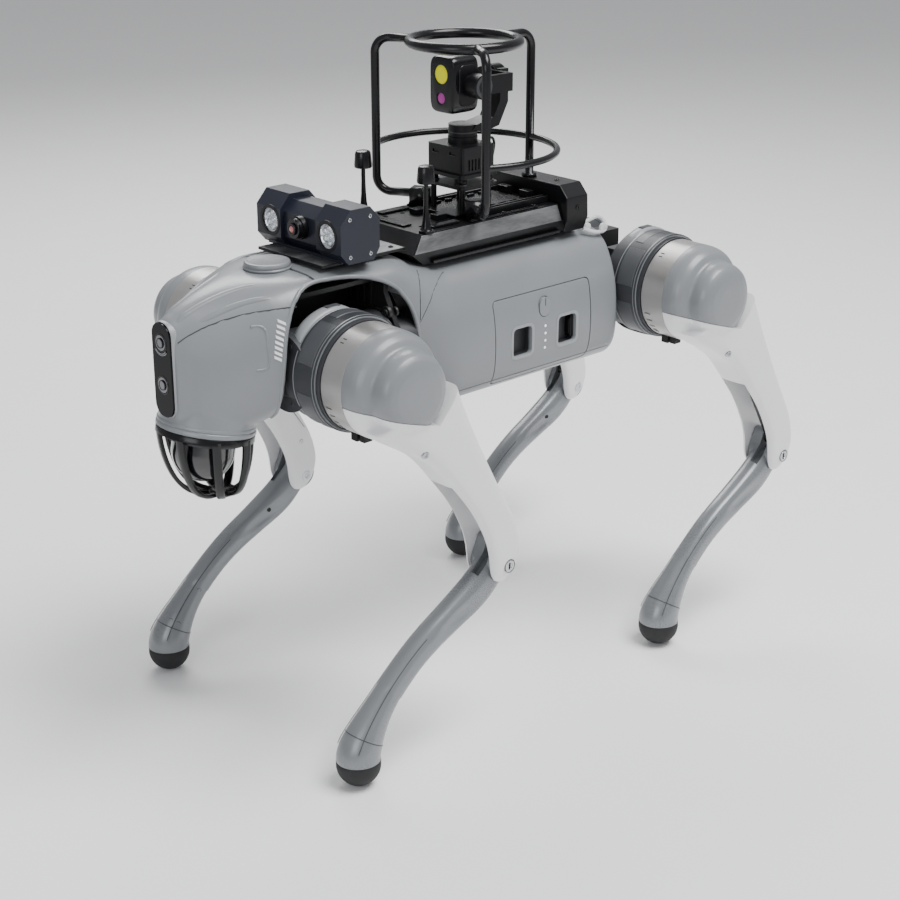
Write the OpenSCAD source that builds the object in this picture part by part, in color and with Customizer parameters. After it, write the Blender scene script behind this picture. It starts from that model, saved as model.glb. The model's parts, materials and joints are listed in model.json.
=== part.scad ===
// Four-legged walking robot with a payload tray, a guarded gimbal camera and a searchlight.
// Every shape is laid out from the middle of the four hip axes: X forward, Y to the robot's
// left, Z up. frame() then sets the whole robot on the floor, with the origin under its middle.

/* [Legs] */
// Distance of each hip from the middle of the body, along X
hip_x = 193.4; // [193:0.1:194]
// Distance of each abduction axis from the centreline
hip_y = 46.5; // [46.4:0.1:46.6]
// Distance of each leg's middle plane from the centreline
leg_y = 142; // [141.8:0.1:142.2]
// Thigh length, and the same for the shin, from axis to axis
link_len = 213; // [212:0.5:214]
// Angle that the standing thigh leans back from vertical
thigh_lean = 30.14; // [29:0.1:31]
// Angle that the standing shin leans forward from vertical
calf_lean = 47.91; // [47:0.1:49]
// Radius of the rubber foot
foot_r = 19.5; // [19:0.1:20]
// Length of the crank that drives the knee through its rod
crank_len = 16; // [15.8:0.1:16.2]

/* [Trunk] */
// Rear end of the trunk shell
trunk_rear = -141; // [-141.5:0.1:-140.5]
// Front end of the trunk shell's side walls, where the hip arch starts
trunk_front = 106; // [104:1:108]
// Wall thickness of the moulded shells
wall = 3; // [2.6:0.1:3.2]
// Gap between a part that moves and the part round it
gap = 0.5; // [0.4:0.1:0.6]

/* [Payload] */
// Height of the tray's deck over the hip axes
deck_z = 89.8; // [89:0.1:90.5]
// Radius from the guard's middle to its three posts
guard_r = 84; // [83:0.5:85]
// Middle of the guard along X
guard_x = -9.5; // [-10:0.5:-9]
// Height of the guard's top ring over the hip axes
guard_top = 240.6; // [240:0.2:241]

/* [Hidden] */
// Shaft clearance of a running fit, on the radius
run_fit = 0.05;
// The origin stands under the middle of the robot's length
origin_x = -6.3;
knee_dx = -link_len * sin(thigh_lean);
knee_dz = -link_len * cos(thigh_lean);
foot_dx = knee_dx + link_len * sin(calf_lean);
foot_dz = knee_dz - link_len * cos(calf_lean);
hip_z = foot_r - foot_dz;

// Layers of a leg across Y, counted from the leg's middle plane
drum_in = hip_y + 5.5;
motor_in = 98.4;
cap_in = 124;
thigh_in = leg_y - 20;
thigh_out = leg_y + 21;
slot_in = leg_y - 14;
slot_out = leg_y + 14.5;
calf_half = 13.2;
rod_in = leg_y;
rod_out = leg_y + 6.6;
crank_in = leg_y - 7.5;
crank_out = leg_y - 0.8;
ring_r = 46.5;
bulge_r = 34.5;
dome_out = 168;
drum_r = 50;
barrel_r = 34;
motor_r = 24;
shaft_r = 12;
knee_pin_r = 6;
link_pin_r = 4;

cam_x = 2.5;
cam_z = 205;

// Name, direction along X and direction along Y of each leg
LEGS = [["front_left", 1, 1], ["front_right", 1, -1], ["rear_left", -1, 1], ["rear_right", -1, -1]];
LEG_PARTS = ["hip_housing", "knee_motor", "thigh_shell", "thigh_cap", "knee_crank", "knee_rod",
             "calf", "foot"];
BODY_PARTS = ["trunk_shell", "belly_pan", "chassis_frame", "head_shell", "face_plate",
              "face_lenses", "head_top_cap", "lidar_guard", "lidar_body", "lidar_rotor",
              "abduction_motors", "control_board", "battery_pack", "battery_button",
              "battery_latch_front", "battery_latch_rear", "payload_tray", "tray_rails",
              "tray_rear_cover", "lamp_housing", "lamp_lenses", "lamp_camera", "antennas",
              "gimbal_guard", "gimbal_base", "gimbal_yaw_arm", "gimbal_roll_arm",
              "gimbal_camera"];

// ---------- frames and shared shapes ----------

// Sets a shape laid out from the hip axes down on the floor frame
module frame() {
    translate([origin_x, 0, hip_z]) children();
}

// Sets a left leg's shape, laid out from its hip, at one of the four hips
module leg_frame(leg) {
    frame() translate([leg[1] * hip_x, 0, 0]) mirror([0, leg[2] < 0 ? 1 : 0, 0]) children();
}

// Extrudes an outline drawn in X and Z from y0 to y1
module across_y(y0, y1) {
    translate([0, y1, 0]) rotate([90, 0, 0]) linear_extrude(y1 - y0) children();
}

// Extrudes an outline drawn in Y and Z from x0 to x1
module along_x(x0, x1) {
    translate([x0, 0, 0]) rotate([90, 0, 90]) linear_extrude(x1 - x0) children();
}

// A round bar along Y
module bar_y(r, y0, y1) {
    translate([0, y0, 0]) rotate([-90, 0, 0]) cylinder(r=r, h=y1 - y0, $fn=64);
}

// A round bar along X
module bar_x(r, x0, x1) {
    translate([x0, 0, 0]) rotate([0, 90, 0]) cylinder(r=r, h=x1 - x0, $fn=64);
}

// A box from one corner to the other
module block(lo, hi) {
    translate(lo) cube(hi - lo);
}

// A rectangle with round corners, centred
module round_rect(w, h, r) {
    square([w - 2 * r, h], center=true);
    square([w, h - 2 * r], center=true);
    for (sx = [-1, 1], sy = [-1, 1])
        translate([sx * (w / 2 - r), sy * (h / 2 - r)]) circle(r=r, $fn=32);
}

// Joins rings of equal point count into one closed solid
module loft(rings) {
    n = len(rings[0]);
    last = len(rings) - 1;
    polyhedron(
        points=[for (ring = rings) for (p = ring) p],
        faces=concat(
            [[for (i = [0:n - 1]) i]],
            [for (k = [0:last - 1]) for (i = [0:n - 1]) for (t = [0, 1])
                let (a = k * n + i, b = k * n + (i + 1) % n)
                t == 0 ? [a, a + n, b] : [b, a + n, b + n]],
            [[for (i = [n - 1:-1:0]) last * n + i]]
        )
    );
}

// Mirrors a half outline, from top middle to bottom middle, onto the other side
function both_sides(half) = concat(
    half,
    [for (i = [len(half) - 2:-1:1]) [-half[i][0], half[i][1]]]
);

// A half outline moved t towards the point (0, z)
function inset(half, z, t) = [
    for (p = half)
        let (d = norm([p[0], p[1] - z]))
        [p[0] * (1 - t / d), z + (p[1] - z) * (1 - t / d)]
];

function unit(v) = v / norm(v);

// Rings of a bar with a rectangular section, swept along points that lie in one upright plane
function strap(points, side, w, t) = [
    for (k = [0:len(points) - 1])
        let (
            a = points[max(k - 1, 0)],
            b = points[min(k + 1, len(points) - 1)],
            n = unit(cross(b - a, side))
        )
        [for (c = [[-1, -1], [1, -1], [1, 1], [-1, 1]])
            points[k] + side * c[0] * w / 2 + n * c[1] * t / 2]
];

// ---------- trunk ----------

// Half section of the trunk, Y and Z
trunk_half = [[0, 60], [34, 60], [50, 56], [62, 42], [72, 20], [76, -10], [75, -40], [68, -56],
              [55, -64], [0, -64]];

module trunk_section() {
    polygon(both_sides(trunk_half));
}

module trunk_inside() {
    polygon(both_sides(inset(trunk_half, -4, wall)));
}

battery_x = [-103, 22];
battery_z = [-57, 22.5];

// The cowl over the front hips, seen from the side
module cowl_side() {
    polygon([[58, 50], [98, 61], [125, 67.5], [160, 71], [203, 71.5], [203, 76.4], [190, 76.5],
             [130, 75.5], [100, 69.2], [79, 60], [58, 56]]);
}

module cowl_section() {
    polygon(both_sides([[0, 79], [48, 79], [62, 68], [62, 40], [0, 40]]));
}

module trunk_shell() {
    color([0.62, 0.65, 0.68]) difference() {
        union() {
            along_x(trunk_rear, trunk_front) trunk_section();
            intersection() {
                across_y(-62, 62) cowl_side();
                along_x(50, 205) cowl_section();
            }
        }
        along_x(trunk_rear + wall, trunk_front + 1) trunk_inside();
        // rear opening for the hip motors' shafts and the beam
        for (s = [-1, 1])
            translate([0, s * hip_y, 0]) bar_x(shaft_r + 3, trunk_rear - 1, trunk_rear + 5);
        block([trunk_rear - 1, -11, -42], [trunk_rear + 5, 11, 42]);
        // battery bay
        block([battery_x[0], 30, battery_z[0]], [battery_x[1], 90, battery_z[1]]);
    }
}

module belly_pan() {
    color([0.3, 0.31, 0.33])
        along_x(-136, 96) polygon(both_sides([[0, -64], [48, -64], [44, -67], [0, -67]]));
}

module chassis_frame() {
    color([0.12, 0.12, 0.13]) {
        difference() {
            union() {
                // spine through both hip bays
                block([-212, -9, -38], [trunk_rear + 12, 9, 38]);
                block([124, -9, -60], [129, 9, -30]);
                block([124, -9, -38], [232, 9, 50]);
                block([231, -9, -20], [247, 9, 50]);
                // front and rear bulkheads that carry the abduction motors
                along_x(129, 134) polygon([[-70, -34], [70, -34], [70, 20], [54, 50], [54, 65],
                                           [-54, 65], [-54, 50], [-70, 20]]);
                along_x(trunk_rear + wall, trunk_rear + wall + 4) intersection() {
                    trunk_inside_loose();
                    square([136, 116], center=true);
                }
                // plate under the cowl, along the bay's roof
                block([129, -40, 57], [246, 40, 61]);
                block([129, -9, 48], [246, 9, 58]);
                // post that carries the head
                block([246, -40, -20], [250, 40, 61]);
            }
            for (x = [[120, 140], [-145, -120]], s = [-1, 1])
                translate([0, s * hip_y, 0]) bar_x(shaft_r + 3, x[0], x[1]);
        }
        // floor under the battery, walls in front of it and behind it, and the board's shelf
        block([-136, -48, -61], [129, 48, -58]);
        for (x = [[-109, -105], [25, 29]]) along_x(x[0], x[1]) intersection() {
            trunk_inside_loose();
            translate([0, -17.5]) square([120, 85], center=true);
        }
        block([29, -50, 20], [86, 50, 23]);
        for (x = [34, 74], y = [-46, 46]) translate([x, y, 23]) cylinder(r=3, h=4, $fn=32);
    }
}

module trunk_inside_loose() {
    polygon(both_sides(inset(trunk_half, -4, wall + 0.6)));
}

module abduction_motors() {
    color([0.55, 0.56, 0.58]) for (sx = [-1, 1], sy = [-1, 1])
        let (end = sx > 0 ? 129 : -trunk_rear - wall - 4)
        mirror([sx < 0 ? 1 : 0, 0, 0]) translate([0, sy * hip_y, 0]) {
            bar_x(motor_r, end - 22, end);
            bar_x(shaft_r, end - 1, hip_x - 20);
        }
}

module control_board() {
    color([0.05, 0.3, 0.16]) {
        block([30, -50, 27], [79, 50, 29]);
        block([38, -20, 29], [66, 20, 34]);
        for (y = [-44, 32]) block([40, y, 29], [58, y + 12, 33]);
        // heat sink with fins
        for (y = [-18:6:18]) block([40, y - 1, 34], [64, y + 1, 46]);
    }
}

// ---------- battery ----------

grip_x = [-13, -71];
grip_z = -21;

module battery_pack() {
    color([0.64, 0.67, 0.7]) difference() {
        intersection() {
            along_x(battery_x[0] + 1, battery_x[1] - 1) trunk_section();
            block([-200, -58, battery_z[0] + 0.8], [200, 90, battery_z[1] - 0.8]);
        }
        // finger grips
        for (x = grip_x) translate([x, 0, grip_z]) across_y(56, 90) round_rect(24, 27, 4);
        // slots for the levers' stems
        for (g = [[grip_x[0], 1], [grip_x[1], -1]])
            translate([g[0] + g[1] * 7.5, 50, grip_z]) cube([9, 16, 9], center=true);
        // button well
        translate([-42, 0, 6]) across_y(66, 90) button_outline(gap);
    }
}

module button_outline(grow) {
    for (s = [-1, 1]) translate([0, s * 2]) circle(r=7 + grow, $fn=48);
    square([14 + 2 * grow, 4], center=true);
}

module battery_button() {
    color([0.66, 0.69, 0.72]) translate([-42, 0, 6]) across_y(67.5, 75.2) button_outline(0);
}

// A finger lever inside a grip, pulled away from the pack's middle of the grip
module battery_latch(x, way) {
    color([0.1, 0.1, 0.11]) {
        block([x + way * 9.5 - 1.8, 56.6, grip_z - 10], [x + way * 9.5 + 1.8, 72, grip_z + 10]);
        block([x + way * 7.7 - 1, 66, grip_z - 7], [x + way * 7.7 + 1, 71, grip_z + 7]);
        block([x + way * 9.3 - 1.6, 44, grip_z - 3.5], [x + way * 9.3 + 1.6, 58, grip_z + 3.5]);
    }
}

// ---------- head ----------

// Half sections of the head across Y and Z, and where each stands along X
head_rings = [
    [247, [[0, 75.5], [34, 74.5], [50, 67], [59, 52], [62, 30], [61, 6], [52, -14], [34, -24],
           [0, -26]]],
    [262, [[0, 73.5], [28, 72], [43, 63], [53, 48], [57, 28], [56, 0], [50, -24], [36, -34],
           [0, -36]]],
    [284, [[0, 68], [19, 66.5], [31, 58], [41, 45], [46, 26], [46, 0], [44, -26], [34, -36],
           [0, -38]]],
    [306, [[0, 60], [11, 58.5], [19, 52], [26, 41], [31, 25], [32, 0], [31, -24], [24, -33],
           [0, -35]]],
    [321, [[0, 52.5], [6, 51.5], [10, 48], [13, 41], [15, 25], [16, 0], [15.5, -22], [12, -30],
           [0, -32]]]
];

function head_ring(k, t) = [
    for (p = both_sides(inset(head_rings[k][1], 10, t))) [head_rings[k][0], p[0], p[1]]
];

// The lidar hangs under the head, tipped so that it looks forward and down
lidar_tilt = -12;
lidar_at = [286, 0, -50];
guard_hub = [272, 0, -110];

module lidar_frame() {
    translate(lidar_at) rotate([0, lidar_tilt, 0]) children();
}

module head_shell() {
    color([0.62, 0.65, 0.68]) difference() {
        union() {
            loft([for (k = [4:-1:0]) head_ring(k, 0)]);
            lidar_frame() translate([0, 0, 1]) cylinder(r1=42.5, r2=40, h=34, $fn=96);
            // deck from the head back to the cowl
            intersection() {
                across_y(-60, 60) polygon([[203.5, 71.5], [230, 70], [252, 62], [252, 75],
                                           [225, 76.2], [203.5, 76.4]]);
                along_x(200, 260) cowl_section();
            }
        }
        loft([for (k = [4:-1:0])
            [for (p = head_ring(k, wall)) [p[0] + (k == 4 ? -wall : k == 0 ? -1 : 0), p[1], p[2]]]]);
        lidar_frame() translate([0, 0, -1]) cylinder(r=38.5, h=30, $fn=96);
        // room for the post that carries the head, and a seat for the face plate
        block([240, -42, -22], [251, 42, 63]);
        translate([0, 0, 10.5]) along_x(321.3, 335) round_rect(25.4, 80.4, 11.2);
    }
}

module face_plate() {
    color([0.02, 0.02, 0.025]) difference() {
        translate([0, 0, 10.5]) along_x(321.3, 325.3) round_rect(25, 80, 11);
        for (z = lens_z) translate([0, 0, z]) bar_x(7.2, 323.3, 330);
    }
}

lens_z = [34, -2];

module face_lenses() {
    color([0.05, 0.05, 0.09]) for (z = lens_z) translate([0, 0, z]) {
        bar_x(6.6, 323.3, 325.8);
        bar_x(4.2, 325.8, 326.6);
    }
    // bow of the status light under the upper lens
    color([0.8, 0.85, 0.9]) translate([0, 0, lens_z[0]]) intersection() {
        difference() {
            bar_x(9.6, 325.3, 325.9);
            bar_x(8.6, 325, 326.2);
        }
        block([325, -7, -10], [327, 7, -3.5]);
    }
}

module head_top_cap() {
    color([0.72, 0.74, 0.77]) translate([215.6, 0, 0]) {
        translate([0, 0, 76.6]) cylinder(r=20.5, h=5.2, $fn=96);
        translate([0, 0, 81.8]) cylinder(r1=20.5, r2=19.2, h=1.4, $fn=96);
    }
}

// ---------- lidar and its guard ----------

rib_count = 8;
guard_rim_r = 40;

// Rib that curves from the rim down to the hub; t runs from 0 to 90 degrees
function rib_point(rim, t) = [
    guard_hub[0] + (rim[0] - guard_hub[0]) * pow(cos(t), 0.62),
    guard_hub[1] + (rim[1] - guard_hub[1]) * pow(cos(t), 0.62),
    rim[2] + (guard_hub[2] - rim[2]) * pow(sin(t), 1.15)
];

function rim_point(a) = lidar_at + [
    guard_rim_r * cos(a) * cos(lidar_tilt),
    guard_rim_r * sin(a),
    -2 - guard_rim_r * cos(a) * sin(lidar_tilt)
];

module lidar_guard() {
    color([0.06, 0.06, 0.065]) {
        lidar_frame() difference() {
            translate([0, 0, -5]) cylinder(r=42, h=5.8, $fn=96);
            translate([0, 0, -6]) cylinder(r=37.5, h=8, $fn=96);
        }
        for (k = [0:rib_count - 1])
            let (a = k * 360 / rib_count + 22.5, rim = rim_point(a), way = unit(guard_hub - rim))
            loft(strap([for (t = [0:9:81]) rib_point(rim, t)],
                       unit(cross(way, [0, 0, 1])), 5, 4));
        translate(guard_hub + [0, 0, -2.5]) cylinder(r=11.5, h=5, $fn=64);
    }
}

lidar_r = 27;

module lidar_body() {
    color([0.04, 0.04, 0.05]) lidar_frame() difference() {
        union() {
            translate([0, 0, -6]) cylinder(r=34, h=30, $fn=96);
            translate([0, 0, -18]) cylinder(r=lidar_r, h=14, $fn=96);
            translate([0, 0, -18]) sphere(r=lidar_r, $fn=64);
        }
        translate([0, 0, -20]) cylinder(r=lidar_r - 2.5, h=14.5, $fn=96);
        translate([0, 0, -20]) sphere(r=lidar_r - 2.5, $fn=64);
    }
}

module lidar_rotor() {
    color([0.5, 0.5, 0.53]) lidar_frame() difference() {
        translate([0, 0, -34]) cylinder(r=15, h=27.5, $fn=64);
        // slanted mirror face
        translate([0, -20, -40]) rotate([0, 30, 0]) cube([40, 40, 30]);
    }
}

// ---------- payload tray ----------

tray_x = [-114, 99.5];

// Half section of the tray across Y and Z
tray_half = [[0, deck_z], [45.7, deck_z], [52, 75.3], [46, 62.5], [34, 60], [0, 60]];
deck_holes = [[63, 30], [-75, 36]];

module payload_tray() {
    color([0.05, 0.05, 0.055]) difference() {
        intersection() {
            along_x(tray_x[0], tray_x[1]) polygon(both_sides(tray_half));
            across_y(-60, 60) polygon([[tray_x[0], 60], [tray_x[1] - 22, 60], [tray_x[1], 75.3],
                                       [83.3, deck_z], [tray_x[0], deck_z]]);
        }
        for (x = deck_hole_x, y = [-deck_hole_y, deck_hole_y])
            translate([x, y, 80]) cylinder(r=deck_hole_r, h=12, $fn=32);
    }
}

// Four threaded holes in the front of the deck
deck_hole_x = [44, 64];
deck_hole_y = 24;
deck_hole_r = 2.5;

module tray_rails() {
    color([0.08, 0.08, 0.085]) for (s = [-1, 1]) difference() {
        block([-84, s * 31 - 4, deck_z], [-4, s * 31 + 4, deck_z + 6]);
        block([-90, s * 31 - 1.5, deck_z + 2.5], [0, s * 31 + 1.5, deck_z + 7]);
    }
    // pale mounting plate between the searchlight and the tray
    color([0.7, 0.71, 0.73]) block([100.5, -44, 79.2], [192, 44, 81.7]);
}

// Raised bulkhead across the tray's rear end
module tray_rear_cover() {
    color([0.05, 0.05, 0.055]) along_x(-114, -86) polygon(both_sides([
        [0, rear_cover_z], [47, rear_cover_z], [57, 96], [58, 76], [53, 63], [52.4, 75.5], [46, deck_z + 0.2],
        [0, deck_z + 0.2]
    ]));
}

// ---------- searchlight ----------

lamp_y = 38.4;
lamp_z = 104.4;

module lamp_housing() {
    color([0.09, 0.1, 0.13]) difference() {
        union() {
            // crossbar and the two lamp pods
            across_y(-30, 30) polygon([[148, 84], [172, 84], [178, 92], [178, 114], [168, 123],
                                       [150, 123], [144, 114], [144, 90]]);
            for (s = [-1, 1]) across_y(s > 0 ? 24 : -57, s > 0 ? 57 : -24)
                polygon([[146, 82], [174, 82], [182, 91], [182, 116], [171, 128], [150, 128],
                         [140, 117], [140, 92]]);
            // foot on the mounting plate
            block([142, -50, 81.7], [176, 50, 84.5]);
        }
        for (s = [-1, 1]) translate([0, s * lamp_y, lamp_z]) bar_x(12.5, 168, 190);
        translate([0, 0, lamp_z]) bar_x(9, 170, 190);
        // vent slots in the pods' backs
        for (y = [-48:6:48]) if (abs(y) > 30) block([138, y - 1.5, 96], [144, y + 1.5, 112]);
    }
}

module lamp_lenses() {
    color([0.85, 0.87, 0.9]) for (s = [-1, 1]) translate([0, s * lamp_y, lamp_z]) difference() {
        bar_x(12.4, 168, 179.5);
        translate([192, 0, 0]) sphere(r=18, $fn=64);
    }
}

module lamp_camera() {
    color([0.05, 0.05, 0.06]) translate([0, 0, lamp_z]) {
        bar_x(8.9, 170, 186);
        bar_x(10, 178.2, 183);
        bar_x(5, 186, 189);
    }
}

module antennas() {
    color([0.05, 0.05, 0.05]) for (s = [-1, 1]) translate([74.2, s * 42, deck_z]) {
        cylinder(r1=5.5, r2=2.6, h=17, $fn=48);
        translate([0, 0, 17]) cylinder(r=2.2, h=30, $fn=32);
        translate([0, 0, 43.4]) cylinder(r1=8.2, r2=6.8, h=13.5, $fn=48);
        translate([0, 0, 56.9]) cylinder(r1=6.8, r2=5, h=2, $fn=48);
    }
}

// ---------- gimbal and its guard ----------

guard_bar = 4;
guard_bend = 14;
guard_foot = deck_z + 11;
low_ring_z = 144.5;
rear_cover_z = 107;
top_ring_r = 48.5;
post_angles = [60, 180, 300];

// One post: a foot arm or a foot flange, an upright and a top arm, with round bends between
module guard_post(rear) {
    up0 = guard_foot + guard_bend;
    up1 = guard_top - guard_bend;
    bend = guard_r - guard_bend;
    if (rear) {
        translate([guard_r, 0, rear_cover_z]) cylinder(r=7, h=3, $fn=48);
        translate([guard_r, 0, rear_cover_z]) cylinder(r=guard_bar, h=up1 - rear_cover_z, $fn=32);
    } else {
        translate([0, 0, guard_foot]) bar_x(guard_bar, 44, bend);
        translate([bend, 0, up0]) rotate([90, 0, 0]) rotate_extrude(angle=-90, $fn=32)
            translate([guard_bend, 0]) circle(r=guard_bar, $fn=16);
        translate([guard_r, 0, up0]) cylinder(r=guard_bar, h=up1 - up0, $fn=32);
    }
    translate([bend, 0, up1]) rotate([90, 0, 0]) rotate_extrude(angle=90, $fn=32)
        translate([guard_bend, 0]) circle(r=guard_bar, $fn=16);
    translate([0, 0, guard_top]) bar_x(guard_bar, top_ring_r, bend);
}

module gimbal_guard() {
    color([0.06, 0.06, 0.065]) translate([guard_x, 0, 0]) {
        for (a = post_angles) rotate([0, 0, a]) {
            guard_post(a == 180);
            // foot block bolted to the deck
            if (a != 180) block([32, -8, deck_z], [50, 8, guard_foot + 5.5]);
        }
        translate([0, 0, guard_top]) rotate_extrude($fn=64)
            translate([top_ring_r, 0]) circle(r=guard_bar + 0.8, $fn=16);
        translate([0, 0, low_ring_z]) rotate([0, 0, 60]) rotate_extrude(angle=240, $fn=64)
            translate([guard_r, 0]) circle(r=guard_bar - 0.8, $fn=16);
    }
}

base_x = -6;
yaw_x = -8;

module gimbal_base() {
    color([0.08, 0.08, 0.09]) {
        // damper plates on four rubber balls
        for (sx = [-1, 1], sy = [-1, 1]) translate([base_x + sx * 16, sy * 19, 0]) {
            translate([0, 0, deck_z]) cylinder(r=2.6, h=24.2, $fn=32);
            translate([0, 0, 120.4]) sphere(r=4.4, $fn=32);
        }
        translate([base_x, 0, 114]) linear_extrude(3) round_rect(46, 52, 5);
        translate([base_x, 0, 124]) linear_extrude(3) round_rect(46, 52, 5);
        difference() {
            translate([base_x, 0, 127]) linear_extrude(24) round_rect(40, 47, 3);
            // slots on the front and side faces
            for (y = [-12, 10]) block([13, y - 4, 143], [15, y + 4, 146]);
            for (x = [-18:4:6]) block([x - 1, 22.5, 130], [x + 1, 24, 140]);
        }
        translate([yaw_x, 0, 151]) cylinder(r=13.5, h=6, $fn=64);
        translate([yaw_x, 0, 157]) cylinder(r=4, h=9, $fn=48);
    }
}

module gimbal_yaw_arm() {
    color([0.09, 0.09, 0.1]) difference() {
        union() {
            translate([yaw_x, 0, 157.4]) cylinder(r=13, h=10.6, $fn=64);
            // arm back and up to the roll motor
            translate([0, -4, 0]) across_y(0, 18) polygon([
                [yaw_x, 164], [yaw_x - 4, 168], [-33, 172], [-41, 186], [-41, cam_z + 9],
                [-51, cam_z + 9], [-51, 184], [-40, 164], [-20, 160]
            ]);
            translate([0, 0, cam_z]) bar_x(12, -52, -39);
        }
        translate([yaw_x, 0, 150]) cylinder(r=4 + run_fit, h=16.5, $fn=48);
        // shaft hole of the roll motor
        translate([0, 0, cam_z]) bar_x(3 + run_fit, -46, -38);
    }
}

module gimbal_roll_arm() {
    color([0.1, 0.1, 0.11]) {
        translate([0, 0, cam_z]) {
            bar_x(3, -45, -37);
            bar_x(11, -38.4, -32);
        }
        // arm round to the camera's left side
        block([-37, 0, cam_z - 7], [-32, 34, cam_z + 9]);
        block([-37, 29, cam_z - 7], [-8, 34, cam_z + 9]);
        difference() {
            translate([-2, 0, cam_z]) bar_y(11, 21, 34);
            translate([-2, 0, cam_z]) bar_y(3 + run_fit, 20, 28);
        }
    }
}

module gimbal_camera() {
    color([0.07, 0.07, 0.08]) {
        difference() {
            intersection() {
                translate([cam_x, 0, cam_z]) across_y(-16.5, 16.5) round_rect(31, 51, 9);
                translate([cam_x, 0, cam_z]) along_x(-20, 20) round_rect(33, 51, 8);
            }
            translate([0, -1, cam_z + 9]) bar_x(7.4, cam_x + 14, cam_x + 20);
            translate([0, -1, cam_z - 12]) bar_x(4.2, cam_x + 14, cam_x + 20);
        }
        translate([-2, 0, cam_z]) bar_y(8, 16, 20.5);
        translate([-2, 0, cam_z]) bar_y(3, 20, 27.5);
    }
    color([0.9, 0.88, 0.05]) translate([0, -1, cam_z + 9]) bar_x(7.3, cam_x + 14, cam_x + 15.2);
    color([0.75, 0.3, 0.65]) translate([0, -1, cam_z - 12]) bar_x(4.1, cam_x + 14, cam_x + 15.2);
}

// ---------- legs: laid out from the hip, on the left side ----------

// Turns an outline along X so that it runs down the standing thigh
module down_thigh() {
    rotate([0, 0, -90 - thigh_lean]) children();
}

// Thigh outline: along the thigh from hip to knee, then across it, forward positive
thigh_outline = [
    [8, -45], [25, -42], [46, -38], [82, -34], [134, -31], [176, -30], [200, -25], [214, -17],
    [223, -8], [227, 3], [225, 12], [217, 18], [207, 17], [190, 10], [172, 6], [145, 5],
    [117, 8], [73, 16], [45, 28], [27, 38], [8, 45]
];

// Room inside the thigh for the rod and the top of the shin
thigh_channel = [
    [-20, -27], [60, -29], [134, -26.5], [184, -26], [192, -60], [260, -60], [260, 60],
    [112, 60], [104, 6], [60, 14], [20, 26], [-20, 30]
];

// Outline of the capped drum's upper part; the thigh shell takes the rest
module cap_region(grow) {
    polygon([[64, -3 - grow], [-25, -32 - grow], [-50 - grow, -4], [-64 - grow, 4], [-64, 60],
             [64, 60]]);
}

// Half profile of the domed end of the drum: distance from the hip axis, then across Y
module dome_profile(t) {
    polygon([
        [0, cap_in - (t > 0 ? 1 : 0)], [ring_r - t, cap_in - (t > 0 ? 1 : 0)],
        [ring_r - t, 129], [45 - t, 136 - t / 2], [41.5 - t, 142.5 - t],
        [37.5 - t, 146.5 - t], [bulge_r + 0.6 - t, 151 - t / 2], [bulge_r - t, 158 - t / 2],
        [31.5 - t, 163.5 - t], [26 - t, 166.6 - t], [17, dome_out - 0.3 - t],
        [0, dome_out - t]
    ]);
}

module dome(t) {
    rotate([-90, 0, 0]) rotate_extrude($fn=96) dome_profile(t);
}

module hip_housing(sx) {
    color([0.16, 0.165, 0.175]) mirror([sx < 0 ? 1 : 0, 0, 0]) difference() {
        union() {
            translate([0, hip_y, 0]) bar_x(barrel_r, sx > 0 ? 137.5 - hip_x : -34, 44);
            bar_y(drum_r - 1.5, drum_in, drum_in + 14);
            bar_y(drum_r, drum_in + 14.8, 93);
            bar_y(drum_r - 1.2, drum_in + 13, drum_in + 15);
            bar_y(ring_r + 1, 92, motor_in - 0.8);
            bar_y(14, motor_in - 2, 113);
        }
        translate([0, hip_y, 0]) bar_x(shaft_r + run_fit, 130 - hip_x, -19);
    }
}

module knee_motor() {
    color([0.74, 0.73, 0.73]) difference() {
        union() {
            bar_y(ring_r, motor_in, cap_in - 0.3);
            bar_y(38, cap_in - 1, 132);
            bar_y(9, 131, leg_y - 1.6);
        }
        bar_y(14 + run_fit, motor_in - 1, 114);
        // cooling slots round the rear of the ring
        for (a = [20:10:160]) rotate([0, a, 0])
            block([ring_r - 1.2, 101, -1], [ring_r + 1, 108, 1]);
    }
}

module thigh_shell() {
    color([0.93, 0.93, 0.94]) {
        difference() {
            union() {
                across_y(thigh_in, thigh_out) down_thigh() polygon(thigh_outline);
                dome(0);
            }
            across_y(cap_in - 4, dome_out + 4) cap_region(0.25);
            dome(2.6);
            bar_y(60, thigh_in - 1, cap_in);
            across_y(slot_in, slot_out) down_thigh() polygon(thigh_channel);
        }
        // knee pin
        translate([knee_dx, 0, knee_dz]) bar_y(knee_pin_r, slot_in - 2, slot_out + 2);
    }
}

module thigh_cap() {
    color([0.62, 0.65, 0.68]) difference() {
        dome(0);
        dome(2.6);
        across_y(cap_in - 4, dome_out + 4) difference() {
            square([200, 200], center=true);
            cap_region(-0.25);
        }
        // slot for the rod
        across_y(rod_in - 1, rod_out + 2.6) down_thigh()
            translate([10, -22]) square([60, 28]);
    }
}

module knee_crank() {
    color([0.3, 0.3, 0.32]) {
        difference() {
            union() {
                bar_y(15, 133, crank_in + 1);
                bar_y(crank_len + 8, crank_in, crank_out);
            }
            bar_y(9 + run_fit, 130, leg_y);
        }
        translate([0, 0, crank_len]) bar_y(link_pin_r, crank_out - 1, rod_out + 1.6);
    }
}

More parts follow.
